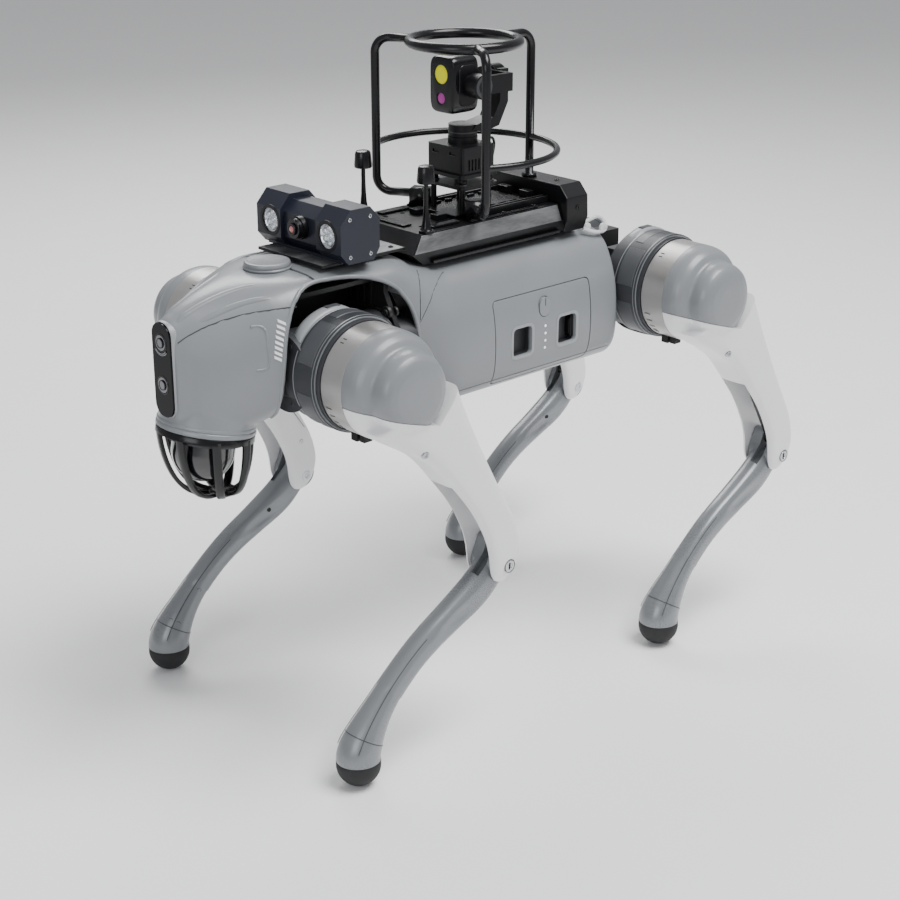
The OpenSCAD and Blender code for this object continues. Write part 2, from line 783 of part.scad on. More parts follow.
module knee_rod() {
    color([0.1, 0.1, 0.11]) difference() {
        union() {
            translate([0, 0, crank_len]) bar_y(7, rod_in, rod_out);
            translate([knee_dx, 0, knee_dz + crank_len]) bar_y(7, rod_in, rod_out);
            translate([0, 0, crank_len]) across_y(rod_in, rod_out) down_thigh()
                translate([0, -4]) square([link_len, 8]);
        }
        translate([0, 0, crank_len]) bar_y(link_pin_r + run_fit, rod_in - 1, rod_out + 1);
        translate([knee_dx, 0, knee_dz + crank_len])
            bar_y(link_pin_r + 0.3, rod_in - 1, rod_out + 1);
    }
}

// Middle line of the shin from the knee, with its half depth and half width
calf_line = [
    [[0, 0], 14, 12.4], [[11, -13], 14.8, 12.4], [[21, -20.5], 16, 12.4], [[33, -27], 15.5, 12.6],
    [[54, -37], 13.5, 12.2], [[77, -49], 12.5, 11.8], [[98.5, -63], 11.8, 11.4],
    [[120, -82], 11.6, 11.6], [[134, -98], 12.8, 13], [[145.5, -113], 15.4, 15.6],
    [[154, -126.5], 18.2, 18.2], [[158, -138], 19.3, 19.3]
];
calf_sides = 20;

function calf_way(k) = unit(
    k == len(calf_line) - 1 ? [0, -1]
    : calf_line[k + 1][0] - calf_line[max(k - 1, 0)][0]
);

function calf_ring(k) =
    let (c = calf_line[k][0], w = calf_way(k), h = calf_line[k][1], b = calf_line[k][2])
    [for (i = [0:calf_sides - 1]) let (a = i * 360 / calf_sides)
        [c[0] - w[1] * h * cos(a), leg_y + b * sin(a), c[1] + w[0] * h * cos(a)]];

module calf() {
    color([0.6, 0.62, 0.65]) translate([knee_dx, 0, knee_dz]) {
        difference() {
            union() {
                loft([for (k = [len(calf_line) - 1:-1:0]) calf_ring(k)]);
                bar_y(14.5, leg_y - calf_half, leg_y + calf_half);
                translate([0, 0, crank_len]) bar_y(8, leg_y - calf_half, leg_y + calf_half);
                across_y(leg_y - calf_half, leg_y + calf_half) square([16, 30], center=true);
            }
            // slot for the rod's end
            across_y(rod_in - 0.8, rod_out + 0.8) polygon([
                [-30, 8], [-18, -6], [-8, 3], [8, 3], [24, -10], [34, 14], [20, 40], [-30, 40]
            ]);
            bar_y(knee_pin_r + run_fit, leg_y - 20, leg_y + 20);
        }
        translate([0, 0, crank_len]) bar_y(link_pin_r, rod_in - 1.5, rod_out + 1.5);
    }
}

module foot() {
    color([0.05, 0.05, 0.05]) translate([foot_dx, leg_y, foot_dz]) intersection() {
        sphere(r=foot_r, $fn=64);
        translate([0, 0, -30]) cylinder(r=30, h=30 + knee_dz - foot_dz - 138, $fn=64);
    }
}

// ---------- what is drawn ----------

frame() trunk_shell();
frame() belly_pan();
frame() chassis_frame();
frame() head_shell();
frame() face_plate();
frame() face_lenses();
frame() head_top_cap();
frame() lidar_guard();
frame() lidar_body();
frame() lidar_rotor();
frame() abduction_motors();
frame() control_board();
frame() battery_pack();
frame() battery_button();
frame() battery_latch(grip_x[0], 1);  // battery_latch_front
frame() battery_latch(grip_x[1], -1);  // battery_latch_rear
frame() payload_tray();
frame() tray_rails();
frame() tray_rear_cover();
frame() lamp_housing();
frame() lamp_lenses();
frame() lamp_camera();
frame() antennas();
frame() gimbal_guard();
frame() gimbal_base();
frame() gimbal_yaw_arm();
frame() gimbal_roll_arm();
frame() gimbal_camera();
for (leg = LEGS) {
    leg_frame(leg) hip_housing(leg[1]);
    leg_frame(leg) knee_motor();
    leg_frame(leg) thigh_shell();
    leg_frame(leg) thigh_cap();
    leg_frame(leg) knee_crank();
    leg_frame(leg) knee_rod();
    leg_frame(leg) calf();
    leg_frame(leg) foot();
}
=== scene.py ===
import json
import math

import bmesh
import bpy
from mathutils import Matrix, Vector


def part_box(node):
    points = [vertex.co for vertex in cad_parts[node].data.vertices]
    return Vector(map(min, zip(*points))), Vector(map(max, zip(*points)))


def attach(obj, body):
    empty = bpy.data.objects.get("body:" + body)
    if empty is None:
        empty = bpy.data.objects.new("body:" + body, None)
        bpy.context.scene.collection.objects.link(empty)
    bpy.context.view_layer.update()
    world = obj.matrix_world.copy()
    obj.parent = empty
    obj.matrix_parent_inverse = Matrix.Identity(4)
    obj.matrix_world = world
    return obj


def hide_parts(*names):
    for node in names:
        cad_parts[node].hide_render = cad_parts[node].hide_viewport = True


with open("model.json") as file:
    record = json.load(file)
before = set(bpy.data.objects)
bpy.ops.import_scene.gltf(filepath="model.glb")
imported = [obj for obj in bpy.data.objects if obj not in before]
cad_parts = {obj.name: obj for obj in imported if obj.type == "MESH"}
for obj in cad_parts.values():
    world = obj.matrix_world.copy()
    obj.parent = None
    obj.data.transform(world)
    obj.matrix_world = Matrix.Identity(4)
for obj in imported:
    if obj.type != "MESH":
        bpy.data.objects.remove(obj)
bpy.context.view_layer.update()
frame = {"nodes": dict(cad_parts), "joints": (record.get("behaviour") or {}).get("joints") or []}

# Lengths below are millimetres from the middle of the four hip axes. solid turns them into metres and BASE moves them
# into the frame.
JOINTS = {j["name"]: j for j in frame["joints"]}
FRONT_HIP = JOINTS["front_left_abduction"]["pos_m"]
REAR_HIP = JOINTS["rear_left_abduction"]["pos_m"]
OX = (FRONT_HIP[0] + REAR_HIP[0]) / 2
HZ = FRONT_HIP[2]
HIP_X = (FRONT_HIP[0] - REAR_HIP[0]) / 2 * 1000
KNEE = JOINTS["front_left_knee"]["pos_m"]
KX, KZ = (KNEE[0] - FRONT_HIP[0]) * 1000, (KNEE[2] - HZ) * 1000
FOOT_LO, FOOT_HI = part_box("front_left_foot")
FX = ((FOOT_LO.x + FOOT_HI.x) / 2 - FRONT_HIP[0]) * 1000
FZ = (FOOT_LO.z + 0.0195 - HZ) * 1000
LEAN = math.atan2(-KX, -KZ)
FOOT_R = 19.5     # radius of the rubber foot
LEG_Y = 142       # plane of the thigh and shin, out from the middle
HIP_Y = 46.5      # abduction axis, out from the middle
AX, AY, AZ = (1, 0, 0), (0, 1, 0), (0, 0, 1)
SIDES = (-1, 1)
BASE = Matrix.Translation((OX, 0, HZ))
LEGS = [("front_left", 1, 1), ("front_right", 1, -1), ("rear_left", -1, 1), ("rear_right", -1, -1)]


# ---- materials

def material(name, color, rough=0.4, metal=0.0, vary=0.05, grain=900.0, bump=0.06, depth=0.00012,
             rough_vary=0.07, coat=0.0, stretch=(1, 1, 1), spec=0.5, alpha=1.0, trans=0.0, emit=None,
             patch=14.0):
    """A surface with patchy colour and gloss and a fine raised grain, all from noise in object space."""
    m = bpy.data.materials.new(name)
    m.use_nodes = True
    nt = m.node_tree
    link, new = nt.links.new, nt.nodes.new
    p = nt.nodes["Principled BSDF"]
    p.inputs["Metallic"].default_value = metal
    p.inputs["Specular IOR Level"].default_value = spec
    p.inputs["Coat Weight"].default_value = coat
    p.inputs["Coat Roughness"].default_value = 0.2
    p.inputs["Alpha"].default_value = alpha
    p.inputs["Transmission Weight"].default_value = trans
    if emit:
        p.inputs["Emission Color"].default_value = (*color, 1)
        p.inputs["Emission Strength"].default_value = emit
    co = new("ShaderNodeTexCoord")
    mp = new("ShaderNodeMapping")
    mp.inputs["Scale"].default_value = stretch
    link(co.outputs["Object"], mp.inputs["Vector"])

    def noise(scale, detail):
        n = new("ShaderNodeTexNoise")
        n.inputs["Scale"].default_value = scale
        n.inputs["Detail"].default_value = detail
        link(mp.outputs["Vector"], n.inputs["Vector"])
        return n.outputs["Fac"]

    big, fine = noise(patch, 4), noise(grain, 2)
    ramp = new("ShaderNodeValToRGB")
    ramp.color_ramp.elements[0].position = 0.3
    ramp.color_ramp.elements[1].position = 0.7
    ramp.color_ramp.elements[0].color = (*[c * (1 - vary) for c in color], 1)
    ramp.color_ramp.elements[1].color = (*[min(c * (1 + vary), 1) for c in color], 1)
    mix = new("ShaderNodeMath")
    mix.operation = "MULTIPLY_ADD"
    mix.inputs[1].default_value = 0.35
    link(fine, mix.inputs[0])
    half = new("ShaderNodeMath")
    half.operation = "MULTIPLY"
    half.inputs[1].default_value = 0.65
    link(big, half.inputs[0])
    link(half.outputs[0], mix.inputs[2])
    link(mix.outputs[0], ramp.inputs["Fac"])
    link(ramp.outputs["Color"], p.inputs["Base Color"])
    mr = new("ShaderNodeMapRange")
    mr.inputs["From Min"].default_value = 0.3
    mr.inputs["From Max"].default_value = 0.7
    mr.inputs["To Min"].default_value = max(rough - rough_vary, 0.02)
    mr.inputs["To Max"].default_value = min(rough + rough_vary, 1)
    link(mix.outputs[0], mr.inputs["Value"])
    link(mr.outputs["Result"], p.inputs["Roughness"])
    if bump:
        b = new("ShaderNodeBump")
        b.inputs["Strength"].default_value = bump
        b.inputs["Distance"].default_value = depth
        link(fine, b.inputs["Height"])
        link(b.outputs["Normal"], p.inputs["Normal"])
    return m


GREY = material("shell_grey", (0.205, 0.216, 0.228), 0.34, vary=0.035, grain=1400, bump=0.10, coat=0.15)
WHITE = material("shell_white", (0.80, 0.80, 0.81), 0.34, vary=0.02, grain=1400, bump=0.10, coat=0.2)
DARK = material("housing_dark", (0.030, 0.032, 0.036), 0.44, vary=0.16, grain=1100, bump=0.25)
SILVER = material("motor_alloy", (0.46, 0.445, 0.435), 0.36, 0.75, vary=0.05, grain=500, bump=0.08,
        stretch=(6, 0.6, 6))
SHIN = material("shin_grey", (0.20, 0.211, 0.223), 0.30, 0.25, vary=0.035, grain=1400, bump=0.03, coat=0.2)
RUBBER = material("rubber_black", (0.012, 0.012, 0.013), 0.72, vary=0.25, grain=700, bump=0.6, depth=0.0003)
BLACK = material("tray_black", (0.006, 0.006, 0.007), 0.34, vary=0.25, grain=1300, bump=0.16, spec=0.25)
CAGE = material("cage_black", (0.005, 0.005, 0.006), 0.24, vary=0.2, grain=1600, bump=0.12, spec=0.38)
FACE = material("face_gloss", (0.003, 0.003, 0.004), 0.10, vary=0.2, bump=0, rough_vary=0.03, spec=0.12)
LENS = material("lens_dark", (0.012, 0.012, 0.03), 0.05, vary=0.3, bump=0, rough_vary=0.02, coat=1.0, spec=0.9)
NAVY = material("lamp_navy", (0.010, 0.012, 0.022), 0.40, vary=0.18, grain=1500, bump=0.3, spec=0.4)
CHROME = material("reflector", (0.86, 0.87, 0.89), 0.10, 1.0, vary=0.05, grain=300, bump=0.05, rough_vary=0.05)
GLASS = material("lamp_glass", (0.95, 0.97, 1.0), 0.03, vary=0.01, bump=0, rough_vary=0.01, trans=0.9, spec=0.8)
BRUSHED = material("brushed_strip", (0.20, 0.205, 0.21), 0.42, 0.7, vary=0.30, grain=420, bump=0.3,
        stretch=(0.35, 2, 2), rough_vary=0.14, patch=60)
SCREW = material("screw_steel", (0.50, 0.51, 0.53), 0.26, 1.0, vary=0.08, grain=900, bump=0.1)
PANEL = material("housing_panel", (0.058, 0.061, 0.067), 0.40, vary=0.12, grain=1100, bump=0.2)
SEAM = material("seam_dark", (0.045, 0.048, 0.052), 0.7, vary=0.2, bump=0.1)
LIGHTGREY = material("fairing_grey", (0.27, 0.283, 0.296), 0.38, vary=0.04, grain=1400, bump=0.1, coat=0.1)
MARK = material("mark_white", (0.88, 0.89, 0.90), 0.45, vary=0.03, grain=1200, bump=0.05)
LED = material("led_white", (0.95, 0.97, 1.0), 0.3, vary=0.01, bump=0, emit=0.6)
# upper camera lens: the emission is painted glow, standing in for the yellow light its coated glass reflects
YELLOW_PAINTED_GLOW = material("lens_yellow_painted_glow", (0.66, 0.66, 0.0), 0.35, vary=0.03, bump=0, spec=0.2, emit=0.22)
# lower camera lens: the emission is painted glow, standing in for the magenta light its coated glass reflects
MAGENTA_PAINTED_GLOW = material("lens_magenta_painted_glow", (0.40, 0.06, 0.30), 0.3, vary=0.06, bump=0, spec=0.2, emit=0.1)
PINK = material("lens_pink", (0.55, 0.16, 0.17), 0.15, vary=0.1, bump=0, coat=0.6)
SMOKE = material("lidar_smoke", (0.006, 0.006, 0.008), 0.07, vary=0.2, bump=0, rough_vary=0.02, coat=0.8)
BOARD = material("board_green", (0.01, 0.09, 0.035), 0.4, vary=0.2, grain=500, bump=0.3)
CLEAR = material("clear_loop", (0.86, 0.87, 0.88), 0.25, vary=0.03, bump=0, trans=0.35)
LINER = material("bay_liner", (0.008, 0.008, 0.009), 0.5, vary=0.2, grain=900, bump=0.3)


# ---- shapes, as (points, faces)

def between(p, t):
    """The Catmull-Rom point at t between the middle two of four points."""
    return tuple(0.5 * (2 * b + (c - a) * t + (2 * a - 5 * b + 4 * c - d) * t * t + (3 * b - a - 3 * c + d) * t ** 3)
                 for a, b, c, d in zip(*p))


def spline(points, per, closed=False):
    """Points of a Catmull-Rom curve through the given points, of any dimension."""
    n, out = len(points), []
    for i in range(n if closed else n - 1):
        p = [points[(i + k) % n] if closed else points[min(max(i + k, 0), n - 1)] for k in (-1, 0, 1, 2)]
        for s in range(per):
            out.append(between(p, s / per))
    if not closed:
        out.append(tuple(points[-1]))
    return out


def loft(rings, caps=True, closed=False):
    n = len(rings[0])
    pts = [p for r in rings for p in r]
    m = len(rings)
    faces = []
    for k in range(m if closed else m - 1):
        a0, b0 = k * n, ((k + 1) % m) * n
        faces += [(a0 + i, a0 + (i + 1) % n, b0 + (i + 1) % n, b0 + i) for i in range(n)]
    if caps and not closed:
        faces += [tuple(range(n - 1, -1, -1)), tuple((m - 1) * n + i for i in range(n))]
    return pts, faces


def prism(poly, axis, lo, hi):
    f = {"x": lambda a, b, t: (t, a, b), "y": lambda a, b, t: (a, t, b), "z": lambda a, b, t: (a, b, t)}[axis]
    return loft([[f(a, b, lo) for a, b in poly], [f(a, b, hi) for a, b in poly]])


def box(lo, hi):
    return prism([(lo[0], lo[1]), (hi[0], lo[1]), (hi[0], hi[1]), (lo[0], hi[1])], "z", lo[2], hi[2])


def turned(profile, centre, axis, n=64):
    """Turns (radius, height) points about an axis through centre."""
    a = Vector(axis).normalized()
    u = a.orthogonal().normalized()
    v = a.cross(u)
    rings = []
    for k in range(n):
        t = 2 * math.pi * k / n
        d = u * math.cos(t) + v * math.sin(t)
        rings.append([tuple(Vector(centre) + d * max(r, 0.001) + a * h) for r, h in profile])
    m = len(profile)
    pts = [p for r in rings for p in r]
    faces = [(k * m + i, ((k + 1) % n) * m + i, ((k + 1) % n) * m + i + 1, k * m + i + 1)
             for k in range(n) for i in range(m - 1)]
    return pts, faces


def disc(centre, axis, r, h, edge=0.4, n=48):
    """A short round boss with a rounded edge, from centre along axis."""
    e = min(edge, h * 0.49, r * 0.49)
    return turned([(0, 0), (r, 0), (r, h - e), (r - e * 0.3, h - e * 0.3), (r - e, h), (0, h)], centre, axis, n)


def ring_of(centre, axis, r0, r1, h, n=64):
    e = min(0.3, h * 0.3, (r1 - r0) * 0.3)
    return turned([(r0, 0), (r1, 0), (r1, h - e), (r1 - e, h), (r0 + e, h), (r0, h - e), (r0, 0)], centre, axis, n)


def tube(points, r, n=12, closed=False, flat=1.0, up=AZ):
    """A bar swept along points; flat squeezes it across up."""
    pts = [Vector(p) for p in points]
    m = len(pts)
    rings = []
    for i, p in enumerate(pts):
        a = pts[(i - 1) % m] if closed else pts[max(i - 1, 0)]
        b = pts[(i + 1) % m] if closed else pts[min(i + 1, m - 1)]
        t = (b - a).normalized()
        s = t.cross(Vector(up))
        if s.length < 1e-3:
            s = t.cross(Vector(AY))
        s.normalize()
        w = s.cross(t)
        rad = r(i / (m - 1)) if callable(r) else r
        rings.append([tuple(p + s * (rad * math.cos(2 * math.pi * k / n)) + w * (rad * flat * math.sin(2 * math.pi * k / n)))
                      for k in range(n)])
    return loft(rings, closed=closed)


def rounded(w, h, r, cx=0.0, cy=0.0, per=6):
    """A rectangle with round corners, as a list of points."""
    out = []
    for sx, sy, a0 in ((1, 1, 0), (-1, 1, 90), (-1, -1, 180), (1, -1, 270)):
        for k in range(per + 1):
            a = math.radians(a0 + 90 * k / per)
            out.append((cx + sx * (w / 2 - r) + r * math.cos(a), cy + sy * (h / 2 - r) + r * math.sin(a)))
    return out


def both_sides(half):
    """Top middle, one side, bottom middle, other side."""
    return list(half) + [(-y, z) for y, z in reversed(half[1:-1])]


def joined(*geos):
    pts, faces = [], []
    for p, f in geos:
        k = len(pts)
        pts += p
        faces += [tuple(i + k for i in face) for face in f]
    return pts, faces


# ---- meshes and pieces

def solid(geo):
    """A mesh in metres from a shape or a list of shapes, normals outward, not linked to any scene."""
    if isinstance(geo, list):
        geo = joined(*geo)
    me = bpy.data.meshes.new("solid")
    me.from_pydata([(x / 1000, y / 1000, z / 1000) for x, y, z in geo[0]], [], geo[1])
    bm = bmesh.new()
    bm.from_mesh(me)
    bmesh.ops.remove_doubles(bm, verts=bm.verts, dist=2e-6)
    bmesh.ops.recalc_face_normals(bm, faces=bm.faces)
    bm.to_mesh(me)
    bm.free()
    return me


def _applied(me, make):
    o = bpy.data.objects.new("work", me)
    bpy.context.scene.collection.objects.link(o)
    make(o)
    dg = bpy.context.evaluated_depsgraph_get()
    out = bpy.data.meshes.new_from_object(o.evaluated_get(dg))
    bpy.data.objects.remove(o)
    return out


def boolean(me, tool, op="DIFFERENCE"):
    t = bpy.data.objects.new("tool", tool if isinstance(tool, bpy.types.Mesh) else solid(tool))
    bpy.context.scene.collection.objects.link(t)

    def make(o):
        b = o.modifiers.new("b", "BOOLEAN")
        b.object, b.operation, b.solver = t, op, "EXACT"
    out = _applied(me, make)
    bpy.data.objects.remove(t)
    return out


def remeshed(me, voxel, smooth):
    def make(o):
        r = o.modifiers.new("r", "REMESH")
        r.mode, r.voxel_size = "VOXEL", voxel / 1000
        s = o.modifiers.new("s", "SMOOTH")
        s.factor, s.iterations = 0.5, smooth
    return _applied(me, make)


def soften(o, bevel, seg, angle):
    """Rounds the edges of an object that are sharper than angle."""
    b = o.modifiers.new("edge", "BEVEL")
    b.width, b.segments, b.limit_method, b.angle_limit = bevel / 1000, seg, "ANGLE", math.radians(angle)
    b.harden_normals = True
    b.use_clamp_overlap = True


def put(name, me, mat, body="trunk", at=BASE, bevel=0.0, seg=2, angle=38, sharp=38, stands_for=()):
    """Makes a piece from a mesh, places it with the matrix at, and lets it ride on a body."""
    if not isinstance(me, bpy.types.Mesh):
        me = solid(me)
    me = me.copy()
    me.name = name
    me.transform(at)
    if at.determinant() < 0:
        me.flip_normals()
    me.materials.clear()
    me.materials.append(mat)
    me.shade_smooth()
    me.set_sharp_from_angle(angle=math.radians(sharp))
    o = bpy.data.objects.new(name, me)
    bpy.context.scene.collection.objects.link(o)
    if bevel:
        soften(o, bevel, seg, angle)
    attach(o, body)
    if stands_for:
        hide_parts(*stands_for)
    return o


def on_legs(name, me, mat, part, fore_aft=False, swap=(), legs=LEGS, **kw):
    """Puts one copy on each leg, mirrored to the right side, and to the rear as well if fore_aft."""
    if not isinstance(me, bpy.types.Mesh):
        me = solid(me)
    for leg, sx, sy in legs:
        at = BASE @ Matrix.Translation((sx * HIP_X / 1000, 0, 0)) @ Matrix.Diagonal(
            (sx if fore_aft else 1, sy, 1, 1))
        put(f"{leg}.{name}", me, mat, f"{leg}_{part}", at=at,
            stands_for=[f"{leg}_{n}" for n in swap], **kw)


def finish_cad(node, mat, bevel=0.5):
    """Keeps a CAD node and gives it a finish: soft edges and a material."""
    o = frame["nodes"][node]
    me = o.data
    if "custom_normal" in me.attributes:
        me.attributes.remove(me.attributes["custom_normal"])
    me.shade_smooth()
    w = o.modifiers.new("weld", "WELD")
    w.merge_threshold = 2e-6
    if bevel:
        soften(o, bevel, 2, 34)
    me.materials.clear()
    me.materials.append(mat)
    return o


def on_hips(name, me, mat, **kw):
    """Puts one copy on each hip housing."""
    on_legs(name, me, mat, "hip", fore_aft=True, **kw)


def screw(centre, axis, r=3.0, h=1.2):
    """A pan head with a socket, sunk a little into the surface."""
    return turned([(0, h * 0.2), (r * 0.42, h * 0.2), (r * 0.46, h * 0.9), (r * 0.55, h), (r * 0.8, h * 0.92),
                   (r * 0.95, h * 0.6), (r, 0), (r, -1.0)], centre, axis, 28)


def socket(centre, axis, r=3.0, depth=1.0):
    """A dark countersunk hole mouth: a thin ring round a sunk disc."""
    return turned([(0, -0.1), (r * 0.62, -0.1), (r * 0.7, 0.15), (r * 0.92, 0.3), (r, 0.12), (r, -depth)],
                  centre, axis, 28)


# ---- camera, light, floor

cam_data = bpy.data.cameras.new("camera")
cam_data.lens = 71.83
cam_data.sensor_width = 36
cam_data.clip_start = 0.05
camera = bpy.data.objects.new("camera", cam_data)
camera.location = (1.0896 + OX, 1.1758, 0.4832 + HZ)
camera.rotation_euler = (math.radians(90 - 21.406), 0, math.radians(137.377))
bpy.context.scene.collection.objects.link(camera)
bpy.context.scene.camera = camera

world = bpy.data.worlds.new("studio")
bpy.context.scene.world = world
world.use_nodes = True
world.node_tree.nodes["Background"].inputs["Color"].default_value = (0.96, 0.975, 1.0, 1)
world.node_tree.nodes["Background"].inputs["Strength"].default_value = 0.42


def area(name, where, aim, size, power, color=(1, 1, 1)):
    d = bpy.data.lights.new(name, "AREA")
    d.shape, d.size, d.size_y, d.energy, d.color = "RECTANGLE", size[0], size[1], power, color
    o = bpy.data.objects.new(name, d)
    o.location = where
    o.rotation_euler = (Vector(aim) - Vector(where)).to_track_quat("-Z", "Y").to_euler()
    bpy.context.scene.collection.objects.link(o)


area("key", (-0.45, 0.95, 2.5), (0, 0, 0.25), (1.5, 1.3), 88)
area("front", (2.3, 0.9, 1.2), (0.1, 0, 0.3), (1.2, 1.2), 15, (0.97, 0.98, 1.0))
area("back", (-0.9, -1.7, 1.9), (0, 0, 0.35), (1.4, 1.0), 36)

floor = bpy.data.objects.new("floor", solid(([(-9e3, -9e3, -0.05), (9e3, -9e3, -0.05), (9e3, 9e3, -0.05), (-9e3, 9e3, -0.05)],
        [(0, 1, 2, 3)])))
floor.data.materials.append(material("floor_pale", (0.96, 0.96, 0.96), 0.7, vary=0.005, grain=60, bump=0.01))
bpy.context.scene.collection.objects.link(floor)

# ---- trunk

TRUNK_HALF = [(0, 60.2), (18, 60.2), (34, 59.6), (48, 55.5), (59, 46), (67, 31), (73, 12), (75.6, -10), (75.4, -32),
              (72.5, -48), (65, -59), (54, -63.5), (30, -64), (0, -64)]
COWL_HALF = [(0, 76.6), (18, 76.6), (34, 76.2), (46, 74.4), (54, 70.6), (59, 65), (61.5, 56), (62.5, 40), (63, 20),
             (62, 0), (60, -20), (54, -40), (30, -50), (0, -52)]


def ease(t):
    t = min(max(t, 0), 1)
    return t * t * (3 - 2 * t)


def trunk_half(x, inset=0.0):
    """Half section of the trunk at x: the plain trunk, then rising into the cowl over the hips."""
    w = ease((x - 62) / 66)
    out = []
    for (y0, z0), (y1, z1) in zip(TRUNK_HALF, COWL_HALF):
        y, z = y0 + (y1 - y0) * w, z0 + (z1 - z0) * w
        d = math.hypot(y, z + 4)
        out.append((y * (1 - inset / d), -4 + (z + 4) * (1 - inset / d)))
    return out


def trunk_ring(x, inset=0.0):
    return [(x, y, z) for y, z in spline(both_sides(trunk_half(x, inset)), 5, closed=True)]


def side_y(half, z, skip):
    """How far out a half section is at height z, apart from its top and bottom, nearer the middle than skip."""
    half = spline(half, 8)
    best = min(zip(half, half[1:]),
               key=lambda s: abs((s[0][1] + s[1][1]) / 2 - z) + (50 if s[0][0] < skip else 0))
    return (best[0][0] + best[1][0]) / 2


def trunk_y(x, z):
    """How far out the trunk's side is at x and height z."""
    return side_y(trunk_half(x), z, 8)


REAR = (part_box("trunk_shell")[0].x - OX) * 1000
ARCH = [(106, -90), (104.5, -45), (103.5, -10), (104, 10), (107, 26), (113, 40), (123, 52), (137, 61), (154, 67),
        (172, 70.2), (192, 71.6), (208, 71.4), (220, 67.8), (230, 60), (238, 48.5), (243.6, 34), (246.6, 16), (247.5,
                -4),
        (247.5, -24), (246.5, -38), (246, -90)]
ARCH_CUT = prism(spline(ARCH, 4), "y", -110, 110)

rings = [trunk_ring(REAR + a, b) for a, b in ((0, 4.5), (0.6, 2.8), (2.0, 1.1), (4.5, 0.2), (7, 0))]
rings += [trunk_ring(x) for x in range(-130, 60, 10)] + [trunk_ring(x) for x in range(60, 140, 4)]
rings += [trunk_ring(x) for x in range(140, 204, 8)] + [trunk_ring(203.2)]
shell = solid(loft(rings))
shell = boolean(shell, loft([trunk_ring(x, 3) for x in [REAR + 3] + list(range(-130, 60, 10)) + list(range(60, 118, 4))]))
shell = boolean(shell, ARCH_CUT)
BX0, BX1, BZ0, BZ1 = -103, 22, -57, 22.5
door = rounded(BX1 - BX0, BZ1 - BZ0, 5, (BX0 + BX1) / 2, (BZ0 + BZ1) / 2)
shell = boolean(shell, prism(door, "y", 25, 90))
for s in SIDES:
    shell = boolean(shell, turned([(0, -6), (15, -6), (15, 10), (0, 10)], (REAR, s * HIP_Y, 0), AX, 48))
shell = boolean(shell, box((REAR - 3, -11, -42), (REAR + 6, 11, 42)))
put("trunk_skin", shell, GREY, bevel=0.7, angle=50, sharp=50, stands_for=["trunk_shell"])

# seams and screws along the lower edge
seams = []
for s in SIDES:
    line = [(95, 62), (99, 55), (102, 44), (103.2, 30), (103.6, 22)]
    seams.append(tube([(x, s * (trunk_y(x, z) + 0.02), z) for x, z in spline(line, 6)], 0.35, 6))
    line = [(103.6, 20), (96, 32), (86, 43), (74, 50), (62, 54)]
    seams.append(tube([(x, s * (trunk_y(x, z) + 0.02), z) for x, z in spline(line, 6)], 0.3, 6))
    seams.append(tube([(x, s * trunk_y(x, -52), -52) for x in range(int(REAR) + 8, 100, 6)], 0.28, 6))
put("trunk_seams", seams, SEAM)
holes = []
for s in SIDES:
    for x in (REAR + 12, -112, 30, 92):
        y = trunk_y(x, -48)
        holes.append(socket((x, s * (y - 0.3), -48), (0, s, -0.35), 3.0))
put("trunk_screw_wells", holes, LINER)
put("trunk_screws", [turned([(0, 0), (1.9, 0), (1.9, 0.5), (1.4, 0.8), (0, 0.8)], (x, s * (trunk_y(x, -48) - 0.6), -48),
        (0, s, -0.35), 20)
        for s in SIDES for x in (REAR + 12, -112, 30, 92)], SCREW)

# ---- battery

pack = solid(loft([trunk_ring(x, 0.05) for x in (BX0 + 1, -60, -20, BX1 - 1)]))
inner = rounded(BX1 - BX0 - 2, BZ1 - BZ0 - 1.7, 4.4, (BX0 + BX1) / 2, (BZ0 + BZ1) / 2)
pack = boolean(pack, prism(inner, "y", -58, 90), "INTERSECT")
GRIPS = [(-13, 1), (-71, -1)]
for gx, way in GRIPS:
    pack = boolean(pack, prism(rounded(24, 27, 4, gx, -21), "y", 56, 90))
    pack = boolean(pack, box((gx + way * 7.5 - 4.5, 42, -25.5), (gx + way * 7.5 + 4.5, 58, -16.5)))
OVAL = rounded(15, 19, 7.4, -42, 6, 8)
pack = boolean(pack, prism(OVAL, "y", 66, 90))
put("battery_skin", pack, GREY, "battery", bevel=0.6, angle=50, sharp=50, stands_for=["battery_pack"])
put("battery_case", box((BX0 + 0.7, -57.6, BZ0 + 0.6), (BX1 - 0.7, 65.5, BZ1 - 0.6)), DARK, "battery", bevel=2.5,
    seg=4)
put("battery_contacts", [box((-74 + k * 11, -57.8, -34), (-68 + k * 11, -57.2, -12)) for k in range(7)], SCREW,
    "battery")
rims, cups, dots = [], [], []
for gx, way in GRIPS:
    out, inn = rounded(29, 32, 6, gx, -21), rounded(23.6, 26.6, 4, gx, -21)
    ring = []
    for poly, lift in ((out, -0.6), (out, 0.25), (rounded(27.6, 30.6, 5.4, gx, -21), 0.55), (inn, 0.1), (inn, -3)):
        ring.append([(x, trunk_y(x, z) + lift, z) for x, z in poly])
    rims.append(loft(ring, caps=False))
    cup = rounded(23.5, 26.5, 3.9, gx, -21)
    cups.append(loft([[(x, y, z) for x, z in cup] for y in (71, 60)], caps=False))
    cups.append(loft([[(x, 56.5 + 0.1 * k, z) for x,
            z in rounded(23.5 - 2 * k, 26.5 - 2 * k, 3.9 - k, gx, -21)] for k in (0, 1)]))
put("battery_grip_rims", rims, LIGHTGREY, "battery")
put("battery_grip_cups", cups, DARK, "battery")
for z in (-12, -19, -26, -33):
    dots.append(disc((-42, trunk_y(-42, z) - 0.4, z), (0, 1, -0.05), 1.2, 0.6, 0.2, 20))
put("battery_lights", dots, LED, "battery")
